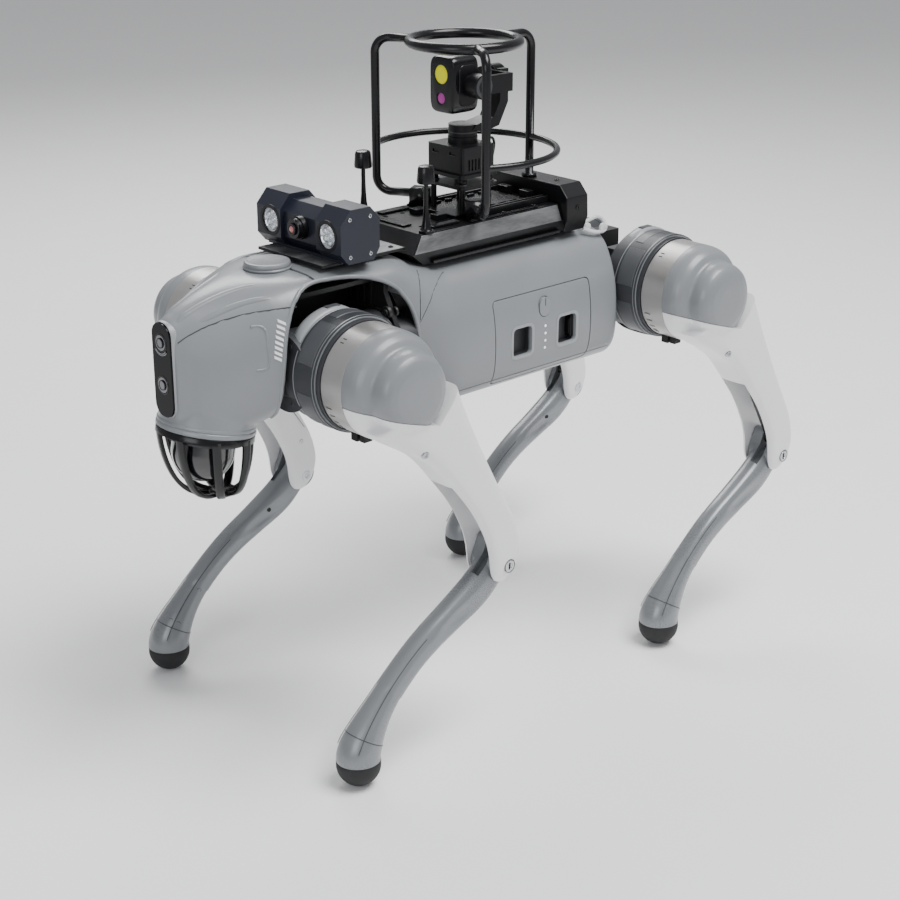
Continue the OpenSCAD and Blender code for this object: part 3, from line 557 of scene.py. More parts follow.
put("battery_button_line", tube([(x, 75.3, z) for x, z in ((-42, 7), (-42, 11), (-42, 14))], 0.3, 6), SEAM,
    "battery_button")
finish_cad("battery_button", GREY, 0.6)
for n in ("battery_latch_front", "battery_latch_rear"):
    finish_cad(n, BLACK, 0.5)

# ---- head

HEAD = [
    (203.6, [(0, 76.6), (18, 76.6), (34, 76.2), (46, 74.4), (54, 70.6), (59, 65), (61.5, 56), (62.5, 40), (63, 20),
            (61, 0),
             (54, -18), (38, -26), (18, -28), (0, -28)]),
    (225, [(0, 76.4), (16, 76.2), (32, 75.2), (45, 72), (53.5, 66), (59, 56), (62, 43), (63.4, 26), (63, 8), (60, -8),
           (52, -24), (38, -33), (18, -36), (0, -36)]),
    (247, [(0, 75.6), (12, 75.2), (25, 73.4), (38, 69), (49, 60.5), (56.5, 48), (60.5, 33), (62, 16), (60, -3),
           (56, -18),
           (49, -31), (37, -40), (18, -44), (0, -44)]),
    (268, [(0, 72), (9, 71.5), (19, 69), (30, 63.5), (40, 54), (48, 41), (53, 27), (55, 10), (53, -8), (49, -22),
           (43, -35), (33, -44), (16, -48), (0, -48)]),
    (288, [(0, 66.5), (7, 66), (14, 63.5), (23, 57.5), (31, 48), (38, 36), (43, 22), (45, 6), (44.5, -10), (42.5, -24),
           (38, -36), (29, -44), (14, -48), (0, -48)]),
    (306, [(0, 60), (5, 59.5), (10, 57.5), (15.5, 53), (21, 45), (26, 34), (30, 21), (32, 6), (33, -9), (32.5, -22),
           (29, -34), (22, -41), (11, -44), (0, -44)]),
    (319, [(0, 53.5), (4, 53), (8, 51), (11.5, 47), (14, 41), (16, 32), (17.5, 20), (18.6, 6), (19, -9), (19, -20),
           (17.5, -29), (14, -34), (7, -36), (0, -36)]),
    (322, [(0, 51.4), (4, 51), (7.6, 49), (10.8, 45.4), (13, 40), (14.4, 31), (15.2, 20), (15.8, 6), (16, -9),
           (15.8, -19),
           (14.4, -27), (11.6, -31), (6, -33), (0, -33)]),
]


def head_half(x):
    """Half section of the head at x, between the stations above."""
    st = [(s[0],) + tuple(v for p in s[1] for v in p) for s in HEAD]
    k = max(i for i in range(len(st) - 1) if st[i][0] <= x or i == 0)
    t = (x - st[k][0]) / (st[k + 1][0] - st[k][0])
    p = [st[min(max(k + i, 0), len(st) - 1)] for i in (-1, 0, 1, 2)]
    v = between(p, t)[1:]
    return list(zip(v[::2], v[1::2]))


def head_ring(x):
    return [(x, y, z) for y, z in spline(both_sides(head_half(x)), 4, closed=True)]


def head_y(x, z):
    return side_y(head_half(x), z, 4)


SPIN = JOINTS["lidar_spin"]
LIDAR = Vector([(SPIN["pos_m"][0] - OX) * 1000, 0, (SPIN["pos_m"][2] - HZ) * 1000])
LAX = Vector(SPIN["axis"]).normalized()

skull = solid(loft([head_ring(x) for x in (203.6, 209, 216, 225, 233, 241, 248, 255, 262, 269, 276, 283, 290, 297,
        303, 309, 314, 318, 320.5, 322)]))
skull = boolean(skull, turned([(0, 1.5), (42, 1.5), (41, 12), (39, 40), (0, 40)], LIDAR, LAX, 64), "UNION")
skull = remeshed(skull, 1.6, 10)
skull = boolean(skull, ARCH_CUT)
skull = boolean(skull, box((195, -90, -100), (204.2, 90, 100)))
skull = boolean(skull, turned([(0, -5), (38.4, -5), (38.4, 24), (30, 30), (0, 32)], LIDAR, LAX, 64))
skull = boolean(skull, box((236, -41, -20.5), (252, 41, 61.5)))
skull = boolean(skull, prism(rounded(25.4, 80.4, 11.2, 0, 10.5), "x", 320.6, 335))
put("head_skin", skull, GREY, sharp=50, stands_for=["head_shell"])
# neck bead: two rounded ribs over the cage's rim
put("neck_bead", turned([(38.6, 0.8), (41.6, 0.8), (42.4, 1.6), (42.4, 4.2), (41.9, 4.9), (41.3, 5.4), (42.0, 6.2), (42.0, 7.6),
        (41.4, 8.6), (38.6, 9.4), (38.6, 0.8)], LIDAR, LAX, 96), GREY)


def head_at(x, p, sink):
    """A point of the head's left half at x; p runs from the top middle (0) to the bottom middle (1)."""
    half = spline(head_half(x), 8)
    k = min(max(p, 0), 1) * (len(half) - 2)
    i, t = int(k), k - int(k)
    a, b = Vector(half[i]), Vector(half[i + 1])
    d = (b - a).normalized()
    q = a + (b - a) * t - Vector((-d.y, d.x)) * sink
    return (x, q.x, q.y)


ridges = []
for line in ([(238, 0.17), (256, 0.145), (280, 0.14), (306, 0.165), (317, 0.20)], [(240, 0.28), (258, 0.25),
        (282, 0.245), (304, 0.27)]):
    for s in SIDES:
        path = [head_at(x, p, 3.6) for x, p in spline(line, 8)]
        ridges.append(tube([(x, s * y, z) for x, y, z in path], lambda t: 4.2 * (1 - 0.45 * abs(2 * t - 1) ** 3), 24))
put("head_ridges", ridges, GREY, sharp=80)
lips = []
for s in SIDES:
    path = []
    for x, z in spline(ARCH, 6):
        if z > -40 and not (x < 110 and z < 4):
            y = trunk_y(x, z) if x < 203 else head_y(x, z)
            path.append((x + (0.9 if x < 150 else 0.6 if x > 215 else 0), s * (y - 1.5), z + (0.9 if z > 50 else 0)))
    lips.append(tube(path, 2.0, 14))
put("arch_lips", lips, GREY, sharp=80)
liners = []
for s in SIDES:
    rows = []
    for x, z in spline(ARCH, 4):
        if -44 < z and x < 214:
            d = Vector((x - 175, z - 5)).normalized()
            y = (trunk_y(x, z) if x < 203 else head_y(x, z)) - 2.4
            a, b = Vector((x, z)) + d * 0.7, Vector((x, z)) + d * 1.9
            rows.append([(a.x, s * y, a.y), (a.x, s * 39, a.y), (b.x, s * 39, b.y), (b.x, s * y, b.y)])
    liners.append(loft(rows))
    liners.append(screw((128.6, s * 62, 34), AX, 4.2, 1.2))
put("arch_liners", liners, LINER, sharp=40)
seams = []
for s in SIDES:
    line = [(319, 36), (306, 44), (290, 50), (272, 54.5), (255, 57), (240, 58), (230, 57.5)]
    seams.append(tube([(x, s * (head_y(x, z) - 0.05), z) for x, z in spline(line, 6)], 0.5, 8))
put("head_seams", seams, SEAM)
# the cheek's sunk panel edge and a plain hatched strip
cheek, hatch = [], []
for s in SIDES:
    line = [(268, 46), (261, 45.5), (258.5, 41), (259.5, 30), (260, 18), (262, 12), (270, 11)]
    cheek.append(tube([(x, s * (head_y(x, z) - 0.75), z) for x, z in spline(line, 6)], 1.3, 12))
    for k in range(8):
        z = 47.5 - k * 4.1
        x = 6.6 + min(spline(ARCH, 8), key=lambda q: abs(q[1] - z) + (99 if q[0] < 200 else 0))[0]
        a, b = (x - 2.6, z - 0.2), (x + 3.0, z + 3.2)
        quad = [(a[0], a[1]), (b[0], b[1]), (b[0], b[1] - 2.5), (a[0], a[1] - 2.5)]
        hatch.append(loft([[(u, s * (head_y(u, v) + d), v) for u, v in quad] for d in (-1.4, 0.4)]))
put("cheek_edges", cheek, GREY)
put("cheek_hatching", hatch, MARK)

finish_cad("face_plate", FACE, 0.9)
finish_cad("face_lenses", LENS, 0.3)
rim = rounded(27.6, 82.6, 12.2, 0, 10.5, 8)
inn = rounded(25.2, 80.2, 11, 0, 10.5, 8)
put("face_rim", loft([[(318.5, y, z) for y, z in rim], [(322.6, y, z) for y, z in rim],
        [(323.8, y, z) for y, z in rounded(26.6, 81.6, 11.7, 0, 10.5, 8)],
        [(323.6, y, z) for y, z in inn], [(320, y, z) for y, z in inn]], caps=False), LIGHTGREY)
bits = []
for z in (34, -2):
    bits.append(ring_of((325.0, 0, z), AX, 7.0, 8.0, 0.7))
    bits.append(ring_of((326.0, 0, z), AX, 3.4, 4.4, 0.9))
put("lens_rings", bits, CAGE)
put("status_light", tube([(325.6, 10.4 * math.sin(a), 34 - 10.4 * math.cos(a)) for a in [math.radians(d) for d in range(-48, 49, 8)]], 0.35, 8), LIGHTGREY)

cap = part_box("head_top_cap")
cx = ((cap[0].x + cap[1].x) / 2 - OX) * 1000
z0 = (cap[0].z - HZ) * 1000
put("head_cap", turned([(0, 0), (20.2, 0), (20.5, 0.6), (20.5, 1.4), (19.8, 1.9), (19.6, 2.4), (19.9, 3.0), (19.7, 4.9), (18.9, 6.1),
        (17.4, 6.5), (16.6, 6.2), (15.8, 5.9), (0, 5.9)], (cx, 0, z0), AZ, 96), GREY,
    stands_for=["head_top_cap"])

# ---- cage and lidar

HUB = Vector((272, 0, -110))
cage = [ring_of(LIDAR + LAX * -5.0, LAX, 38.2, 42.0, 5.6, 96)]
side = Vector(AY).cross(LAX).normalized()
for k in range(8):
    a = math.radians(k * 45 + 22.5)
    rim = LIDAR - LAX * 2 + (side * math.cos(a) + Vector(AY) * math.sin(a)) * 40
    way = (HUB - rim)
    across = way.cross(Vector(AZ)).normalized()
    path = []
    for t in range(0, 88, 6):
        c, d = math.cos(math.radians(t)), math.sin(math.radians(t))
        path.append((HUB.x + (rim.x - HUB.x) * c ** 0.62, HUB.y + (rim.y - HUB.y) * c ** 0.62,
                rim.z + (HUB.z - rim.z) * d ** 1.15))
    rings = []
    for i, p in enumerate(path):
        p = Vector(p)
        t = (Vector(path[min(i + 1, len(path) - 1)]) - Vector(path[max(i - 1, 0)])).normalized()
        n = t.cross(across).normalized()
        rings.append([tuple(p + across * u * 3.6 + n * v * 1.9) for u, v in
                      ((-1, -.6), (-.7, -1), (.7, -1), (1, -.6), (1, .6), (.7, 1), (-.7, 1), (-1, .6))])
    cage.append(loft(rings))
cage.append(turned([(0, -2.5), (10.5, -2.5), (11.5, -1.6), (11.5, 1.6), (10.5, 2.5), (8, 2.5), (7.4, 1.8), (0, 1.8)],
        HUB, AZ, 48))
put("lidar_cage", cage, CAGE, sharp=50, stands_for=["lidar_guard"])
finish_cad("lidar_body", SMOKE, 0.6)
finish_cad("lidar_rotor", LINER, 0.3)
put("lidar_band", ring_of(LIDAR + LAX * -8.5, LAX, 30, 34.4, 2.6, 96), DARK)

# ---- frame, bays, belly

finish_cad("chassis_frame", LINER, 0.6)
finish_cad("belly_pan", DARK, 0.8)
finish_cad("abduction_motors", DARK, 0.8)
finish_cad("control_board", BOARD, 0.2)
bay = []
for s in SIDES:
    bay.append(disc((134, s * 60, 34), AX, 5.5, 3.5, 0.6))
    bay.append(screw((137.4, s * 60, 34), AX, 3.4, 1.4))
    for k in range(4):
        bay.append(box((134, s * 12 + (k * 9) * s - 1.2, 36), (136.4, s * 12 + (k * 9) * s + 1.2, 58)))
    bay.append(box((134, s * 40 - 12, 33), (136.8, s * 40 + 12, 35.4)))
put("bay_ribs", bay, LINER, bevel=0.4)
belly = [screw((x, y, -67.0), (0, 0, -1), 3.0, 1.0) for x in (-124, -23, 84) for y in (-36, 36)]
put("belly_screws", belly, SCREW)
put("belly_ribs", [box((-110 + k * 18, -30, -68.2), (-106 + k * 18, 30, -66.8)) for k in range(11)], DARK, bevel=0.5)
tail = [box((-213.5, -12, -12), (-208, 12, 20)), disc((-213, -5, 8), (-1, 0, 0), 4, 2.2), disc((-213, 6, 8),
        (-1, 0, 0), 3, 2.0)]
put("tail_connector", tail, BLACK, bevel=0.8)

# ---- tray, rails, rear cover

DECK = (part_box("payload_tray")[1].z - HZ) * 1000
finish_cad("payload_tray", BLACK, 0.8)
finish_cad("tray_rear_cover", BLACK, 1.0)
finish_cad("tray_rails", BLACK, 0.4)
strips = []
for s in SIDES:
    quad = [(45.7, DECK), (52, 75.3)]
    n = Vector((0, DECK - 75.3, 52 - 45.7)).normalized()
    a = [Vector((0, y, z)) + n * 0.05 for y, z in quad]
    b = [Vector((0, y, z)) + n * 0.6 for y, z in quad]
    a[0] += (a[1] - a[0]) * 0.06
    b[0] += (b[1] - b[0]) * 0.06
    section = (a[0], a[1], b[1], b[0])
    strips.append(loft([[(x, s * q.y, q.z) for x, q in zip(xs, section)]
            for xs in ((-84, -84, -84, -84), (86.5 - 3, 98.4 - 2, 98.4 - 2, 86.5 - 3))]))
put("tray_strips", strips, BRUSHED, bevel=0.2)
channel = [box((-84, s * 49 - 2.6, 63.5), (74, s * 49 + 2.6, 66.2)) for s in SIDES]
put("tray_channels", channel, CAGE, bevel=0.6)
deck = [box((-70, -26, DECK), (25, 26, DECK + 3.2))]
for s in SIDES:
    deck.append(box((-62, s * 42 - 1.6, DECK), (22, s * 42 + 1.6, DECK + 1.6)))
    deck.append(box((28, s * 14 - 5, DECK), (40, s * 14 + 5, DECK + 5)))
    deck.append(box((30, s * 34 - 4, DECK), (62, s * 34 + 4, DECK + 2.2)))
    for k in range(5):
        deck.append(box((-56 + k * 14, s * 21 - 1.2, DECK + 3), (-48 + k * 14, s * 21 + 1.2, DECK + 5.4)))
    deck.append(box((-80, s * 14 - 6, DECK), (-72, s * 14 + 6, DECK + 9)))
deck.append(box((68, -16, DECK), (78, 16, DECK + 1.8)))
put("tray_fittings", deck, CAGE, bevel=0.5)
bolts = [screw((x, s * 42, DECK + (1.6 if x < 24 else 0)), AZ, 2.2, 1.2) for s in SIDES for x in (-58, -20, 18)]
put("tray_bolts", bolts, BLACK)
caps = [screw((-100, s * 57.6, 86), (0, s, 0), 2.6, 0.9) for s in SIDES] + [screw((-100, s * 30, 107), AZ, 2.4,
        1.1) for s in SIDES]
put("rear_cover_bolts", caps, CAGE)
plate = box((102, -43.4, 79.5), (191.4, 43.4, 81.9))
put("lamp_plate", plate, BRUSHED, bevel=0.5)
put("lamp_plate_bolts", [screw((x, s * 36, 81.8), AZ, 2.4, 1.2) for x in (110, 128) for s in SIDES], BLACK)
loop = spline([(-116, 50, 62), (-128, 54, 57), (-140, 55, 57), (-146, 50, 62), (-141, 45, 68), (-128, 44, 66),
        (-117, 47, 66)], 6)
put("rear_loop", tube(loop, 1.9, 12), CLEAR)
put("rear_loop_clip", [disc((-138, 54, 60), AY, 4.2, 2.5), disc((-121, 50, 63), AY, 3.4, 2.5)], CLEAR)

# ---- searchlight

finish_cad("lamp_housing", NAVY, 0.9)
finish_cad("lamp_lenses", CHROME, 0.3)
finish_cad("lamp_camera", BLACK, 0.6)
LY, LZ = 38.4, 104.4
bits = []
for s in SIDES:
    bits.append(ring_of((181.2, s * LY, LZ), AX, 10.4, 13.6, 1.2))
put("lamp_bezels", bits, BLACK)
bulbs = []
for s in SIDES:
    for k in range(6):
        a = math.radians(60 * k + 30)
        bulbs.append(turned([(0, 0), (3.4, 0), (3.0, 2.2), (1.8, 3.4), (0, 3.8)],
                (176.5, s * LY + 6.6 * math.cos(a), LZ + 6.6 * math.sin(a)), AX, 20))
    bulbs.append(turned([(0, 0), (3.8, 0), (3.3, 2.6), (2, 4), (0, 4.6)], (175, s * LY, LZ), AX, 24))
put("lamp_optics", bulbs, CHROME)
put("lamp_covers", [turned([(0, 0.9), (11.9, 0.5), (12.1, 0), (0, 0)], (180.6, s * LY, LZ), AX, 48) for s in SIDES],
    GLASS)
put("lamp_camera_lens", turned([(0, 0.9), (2.2, 0.7), (3.2, 0), (0, 0)], (188.7, 0, LZ), AX, 32), PINK)
put("lamp_camera_ring", [ring_of((186, 0, LZ), AX, 5, 8.4, 1.4), ring_of((188.4, 0, LZ), AX, 3.2, 5.1, 0.8)], CAGE)
bits = []
for s in SIDES:
    for x, z in ((150, 88), (172, 88), (150, 120), (172, 120)):
        bits.append(screw((x, s * 56.8, z), (0, s, 0), 1.9, 0.7))
put("lamp_screws", bits, SCREW)
put("lamp_fins", [box((141.5, s * 27 - 0.8, 94), (144.5, s * 27 + 0.8, 116)) for s in SIDES], NAVY)

# ---- antennas

for s, tag in ((1, "left"), (-1, "right")):
    c = (74.2, s * 42, DECK)
    put(f"antenna_{tag}", turned([(0, 0), (6.2, 0), (6.2, 1.6), (5.4, 2.2), (4.2, 5), (3.0, 12), (2.3, 20), (2.0, 30), (1.9, 43), (7.0, 43.2),
            (8.0, 44.0), (8.1, 46), (7.5, 52), (7.1, 56.4), (6.2, 58.2), (4.4, 58.8), (0, 58.9)], c, AZ, 48), CAGE,
        **({"stands_for": ["antennas"]} if s == 1 else {}))
    put(f"antenna_nut_{tag}", turned([(0, 0), (7.4, 0), (7.4, 2.2), (0, 2.2)], c, AZ, 6), BLACK, bevel=0.3)

# ---- gimbal and guard

for n, b in (("gimbal_guard", 0), ("gimbal_base", 0.6), ("gimbal_yaw_arm", 2.0), ("gimbal_roll_arm", 2.2)):
    finish_cad(n, CAGE if n == "gimbal_guard" else BLACK, b)
CX, CZ = 2.5, 205.0


def camera_case(grow):
    w, h, d = 33 / 2 + grow, 51 / 2 + grow, 31 / 2 + grow
    rings = []
    for k in range(-16, 17):
        t = k / 16
        f = (1 - abs(t) ** 5) ** 0.22 if abs(t) < 1 else 0.0
        f = 0.80 + 0.20 * f if abs(t) < 1 else 0.80
        rings.append([(CX + d * t, y * f, CZ + z * f) for y, z in
                      [(w * math.copysign(abs(math.cos(a)) ** 0.42, math.cos(a)),
                        h * math.copysign(abs(math.sin(a)) ** 0.36, math.sin(a)))
                       for a in [2 * math.pi * i / 64 for i in range(64)]]])
    return loft(rings)


case = solid(camera_case(-0.1))
for z, r in ((CZ + 9, 8.6), (CZ - 12, 5.2)):
    case = boolean(case, turned([(0, 0), (r, 0), (r, 10), (0, 10)], (CX + 13.9, -1, z), AX, 48))
put("gimbal_camera_case", case, CAGE, "gimbal_camera", bevel=0.4, stands_for=["gimbal_camera"])
# the upper lens glows yellow: painted glow in place of reflected light
put("gimbal_camera_lens_upper", turned([(0, 1.1), (5, 0.9), (8.0, 0.3), (8.3, 0), (0, 0)], (CX + 14.3, -1, CZ + 9),
        AX, 48), YELLOW_PAINTED_GLOW, "gimbal_camera")
# the lower lens glows magenta: painted glow in place of reflected light
put("gimbal_camera_lens_lower", turned([(0, 0.9), (3.4, 0.7), (4.8, 0), (0, 0)], (CX + 14.3, -1, CZ - 12), AX, 40),
    MAGENTA_PAINTED_GLOW, "gimbal_camera")
trim = []
for z, r in ((CZ + 9, 8.4), (CZ - 12, 5.0)):
    trim.append(ring_of((CX + 14.2, -1, z), AX, r, r + 0.7, 0.9))
for s in SIDES:
    side = rounded(20, 36, 5, CX - 1, CZ)
    trim.append(loft([[(x, s * 16.3, z) for x, z in side],
            [(x, s * 17.0, z) for x, z in rounded(19, 35, 4.6, CX - 1, CZ)]]))
trim.append(disc((-2, 16.6, CZ), AY, 9, 3.8, 0.6))
trim.append(turned([(0, 0), (3, 0), (3, 7.4), (0, 7.4)], (-2, 20, CZ), AY, 32))
put("gimbal_camera_trim", trim, BLACK, "gimbal_camera")
put("gimbal_motor_bands", [ring_of((-8, 0, 160.6), AZ, 12.9, 13.2, 1.0), ring_of((-8, 0, 166.6), AZ, 9, 11.6, 1.6)],
    DARK, "gimbal_yaw")
put("gimbal_roll_band", [ring_of((-2, 33.8, CZ), AY, 6.4, 9.8, 0.8), disc((-2, 33.8, CZ), AY, 2.4, 0.9)], DARK,
    "gimbal_roll")
bits = [ring_of((-6 + sx * 16, sy * 19, 116.9), AZ, 3.0, 5.2, 1.2) for sx in SIDES for sy in SIDES]
bits += [ring_of((-6 + sx * 16, sy * 19, 123.0), AZ, 3.0, 5.2, 1.0) for sx in SIDES for sy in SIDES]
bits += [disc((-6 + sx * 16, sy * 19, DECK), AZ, 4.4, 2.4) for sx in SIDES for sy in SIDES]
bits += [box((13.6, y - 4.2, 142.8), (14.5, y + 4.2, 143.4)) for y in (-12, 10)]
bits += [box((-26.2, -20, 134 + 3 * k), (-25.6, 20, 135 + 3 * k)) for k in range(4)]
put("gimbal_base_trim", bits, DARK, bevel=0.2)
cable = spline([(-20, 14, 151), (-24, 20, 156), (-30, 18, 150), (-32, 14, 138), (-30, 12, 122), (-26, 10, 108),
        (-24, 12, DECK + 3)], 6)
put("gimbal_cable", tube(cable, 1.3, 10), CAGE)

# ---- legs


def thigh_xz(u, v):
    """u along the thigh from the hip, v forward of it."""
    return (-u * math.sin(LEAN) + v * math.cos(LEAN), -u * math.cos(LEAN) - v * math.sin(LEAN))


REARLINE = [(8, -45), (25, -42), (46, -38), (82, -34), (134, -31), (176, -30), (200, -25), (214, -17), (223, -8),
        (227, 3)]
FRONTLINE = [(8, 45), (27, 38), (45, 28), (73, 16), (117, 8), (145, 5), (172, 6), (190, 10), (207, 17), (217, 18),
        (225, 12), (227, 3)]


def at_u(line, u):
    for (a, b), (c, d) in zip(line, line[1:]):
        if a <= u <= c:
            return b + (d - b) * (u - a) / (c - a)
    return line[-1][1] if u > line[-1][0] else line[0][1]


REAR_S, FRONT_S = spline(REARLINE, 8), spline(FRONTLINE, 8)
thigh_rings = []
stations = [8 + 3.0 * k for k in range(69)] + [217, 220, 222.5, 224.5, 226, 226.8]
for u in stations:
    lo, hi = at_u(REAR_S, u), at_u(FRONT_S, u)
    mid, half = (lo + hi) / 2, max((hi - lo) / 2, 0.4)
    y0, y1 = 122.0, 163.0
    my, hy = (y0 + y1) / 2, (y1 - y0) / 2
    if u > 205:
        hy *= math.sqrt(max(1 - ((u - 205) / 30) ** 2, 0.05))
    ring = []
    for i in range(56):
        a = 2 * math.pi * i / 56
        c, s = math.cos(a), math.sin(a)
        p = 0.38
        v = mid + half * math.copysign(abs(c) ** p, c)
        y = my + hy * math.copysign(abs(s) ** p, s)
        x, z = thigh_xz(u, v)
        ring.append((x, y, z))
    thigh_rings.append(ring)
DOME = [(0, 124), (46.4, 124), (46.5, 129), (45.9, 134), (44.2, 138.8), (41.2, 142.8), (37.6, 145.2), (35.2, 146.6),
        (34.9, 149), (34.9, 154), (34.3, 158), (32.5, 162), (29, 165), (23.5, 167), (15, 167.9), (0, 168)]
CAP_EDGE = [(66, -3), (30, -14.5), (5, -22.5), (-25, -32), (-50, -4), (-66, 4), (-66, 70), (66, 70)]
CAP_GAP = [(66, -3.6), (30, -15.1), (5, -23.1), (-25.2, -32.8), (-50.6, -4.4), (-66, 3.2), (-66, 70), (66, 70)]


def dome(t):
    return turned([(max(r - t, 0), (h - t if h > 124 else 122)) for r, h in DOME], (0, 0, 0), AY, 96)


white = solid(loft(thigh_rings))
white = boolean(white, dome(0), "UNION")
white = remeshed(white, 1.4, 6)
white = boolean(white, prism(CAP_GAP, "y", 119, 172))
white = boolean(white, dome(2.6))
white = boolean(white, turned([(0, 0), (60, 0), (60, 24), (0, 24)], (0, 100, 0), AY, 96))
ROD_BAY = [(-20, -22.5), (80, -22.5), (80, 9), (60, 14), (20, 26), (-20, 30)]
CHANNEL = [(78, -28), (134, -26.5), (184, -26), (192, -60), (260, -60), (260, 60), (112, 60), (104, 6), (78, 9.5)]
white = boolean(white, prism([thigh_xz(u, v) for u, v in ROD_BAY], "y", 128, 151.2))
white = boolean(white, prism([thigh_xz(u, v) for u, v in CHANNEL], "y", 128, 156.5))
on_legs("thigh", white, WHITE, "thigh", swap=["thigh_shell"], sharp=44)
cap = remeshed(solid(dome(0)), 1.2, 3)
cap = boolean(cap, prism(CAP_EDGE, "y", 123.7, 172), "INTERSECT")
cap = boolean(cap, dome(2.6))
cap = boolean(cap, prism([thigh_xz(u, v) for u, v in ((10, -22), (70, -22), (70, 6), (10, 6))], "y", 141, 151.2))
on_legs("cap", cap, GREY, "thigh", swap=["thigh_cap"], sharp=44)
pin = [turned([(0, 0), (6, 0), (6, 30), (0, 30)], (KX, 127, KZ), AY, 40)]
on_legs("knee_pin", pin, SCREW, "thigh")

x, z = thigh_xz(52, 19)
knee_bits = [turned([(0, 0.2), (3.0, 0.2), (3.2, 0.6), (4.4, 0.8), (5.2, 0.5), (5.5, -0.2)], (KX, 162.6, KZ), AY, 40),
             screw((x, 161.5, z), (0.2, 1, 0.1), 3.4, 1.3), screw((KX, 122.4, KZ), (0, -1, 0), 5.0, 0.6)]
for u, v in ((80, -8), (130, -12), (178, -14)):
    px, pz = thigh_xz(u, v)
    knee_bits.append(screw((px, 122.2, pz), (0, -1, 0), 2.4, 0.7))
on_legs("thigh_screws", knee_bits, SCREW, "thigh")
slit = box((KX - 0.5, 163.0, KZ - 3.2), (KX + 0.5, 163.5, KZ + 3.2))
on_legs("knee_slits", [slit, turned([(5.6, 0), (6.3, 0), (6.3, 0.35), (5.6, 0.35)], (KX, 162.7, KZ), AY, 40)], SEAM,
        "thigh")
pts = [thigh_xz(u, -24 + 1.5 * math.sin((u - 96) / 20)) for u in range(96, 176, 8)]
on_legs("thigh_seams", tube([(px, 121.9, pz) for px, pz in pts], 0.3, 6), SEAM, "thigh")

# motor ring, crank, rod: CAD nodes, then their trim
for leg, _, _ in LEGS:
    finish_cad(f"{leg}_hip_housing", DARK, 0.8)
    finish_cad(f"{leg}_knee_motor", SILVER, 0.5)
    finish_cad(f"{leg}_knee_crank", SILVER, 0.5)
    finish_cad(f"{leg}_knee_rod", CAGE, 0.5)
ring_bits = [ring_of((0, 122.6, 0), AY, 44.5, 46.45, 1.1, 96)]
on_legs("motor_seam", ring_bits, SEAM, "thigh")
marks = []
for a0 in (52, 128, 232, 308):
    for k in (0, 5):
        a = math.radians(a0 + k)
        c = Vector((46.3 * math.cos(a), 0, 46.3 * math.sin(a)))
        marks.append(tube([(c.x, 103, c.z), (c.x, 107, c.z)], 0.6, 8))
on_legs("motor_marks", marks, SEAM, "thigh")
bolts = []
for k in range(6):
    a = math.radians(30 + 60 * k)
    bolts.append(screw((43.0 * math.cos(a), 98.8, 43.0 * math.sin(a)), (0, -1, 0), 1.8, 0.6))
on_legs("motor_bolts", bolts, SCREW, "thigh")

plugs = [box((6, 103, -49.6), (20, 111, -42)), box((10, 113, -49), (19, 119, -42)),
        tube([(13, 107, -49), (13, 107, -50.6)], 2.2, 16)]
on_legs("motor_plugs", plugs, BLACK, "thigh", bevel=0.5)

# hip drum: seam rings, raised panels, grey fairing
drum = [ring_of((0, 66.2, 0), AY, 49.6, 50.3, 0.8, 96), ring_of((0, 90.6, 0), AY, 49.6, 50.25, 0.6, 96),
        ring_of((0, 92.6, 0), AY, 47.6, 49.2, 0.7, 96)]
on_hips("drum_rings", drum, SHIN)
panels = []
for a0, a1, y0, y1 in ((18, 66, 69, 89), (74, 120, 69, 80), (128, 172, 69, 89), (190, 240, 70, 88), (250, 300, 70,
        84), (308, 350, 69, 89)):
    n = 10
    rows = []
    for r in (49.5, 50.45):
        g = 0 if r < 50 else 0.9
        poly = [(y0 + g, a0 + g), (y1 - g, a0 + g), (y1 - g, a1 - g), (y0 + g, a1 - g)]
        row = []
        for (ya, aa), (yb, ab) in zip(poly, poly[1:] + poly[:1]):
            for k in range(n):
                t = k / n
                a = math.radians(aa + (ab - aa) * t)
                row.append((r * math.cos(a), ya + (yb - ya) * t, r * math.sin(a)))
        rows.append(row)
    k0 = len(rows[0])
    pts = rows[0] + rows[1]
    faces = [(i, (i + 1) % k0, k0 + (i + 1) % k0, k0 + i) for i in range(k0)]
    # curved lid: strips between the two long edges
    lo_edge = [k0 + n + i for i in range(n + 1)]
    hi_edge = [k0 + (4 * n - i) % k0 for i in range(n + 1)]
    faces += [(lo_edge[i], lo_edge[i + 1], hi_edge[i + 1], hi_edge[i]) for i in range(n)]
    panels.append((pts, faces))
on_hips("drum_panels", panels, PANEL, bevel=0.3)
fair = []
for k in range(-9, 10):
    a = math.radians(72 + 5.0 * k)
    row = []
    for y, r in ((50.8, 43), (51.2, 48.6), (53, 50.8), (57, 52.0), (62, 51.8), (64.6, 50.6), (65.2, 48.4), (64, 43)):
        f = 1 - 0.10 * (abs(k) / 9) ** 4
        row.append((r * f * math.cos(a), y, r * f * math.sin(a)))
    fair.append(row)
on_hips("hip_fairing", loft(fair), LIGHTGREY, sharp=60)
slot = [box((-6, 55.5, 51.2), (8, 61.5, 52.1))]
on_hips("fairing_slot", slot, SEAM, bevel=0.3)
bolts = []
for k in range(8):
    a = math.radians(22.5 + 45 * k)
    bolts.append(screw((43.8, HIP_Y + 27 * math.cos(a), 27 * math.sin(a)), AX, 2.2, 0.9))
bolts.append(turned([(0, 0), (20, 0), (20, 1.0), (19, 1.6), (12, 1.6), (11, 0.9), (0, 0.9)], (43.8, HIP_Y, 0), AX, 64))
on_hips("barrel_cover", bolts, DARK)
on_hips("barrel_rings", [ring_of((38, HIP_Y, 0), AX, 33.6, 34.4, 1.0, 96)], SEAM)
bolts = []
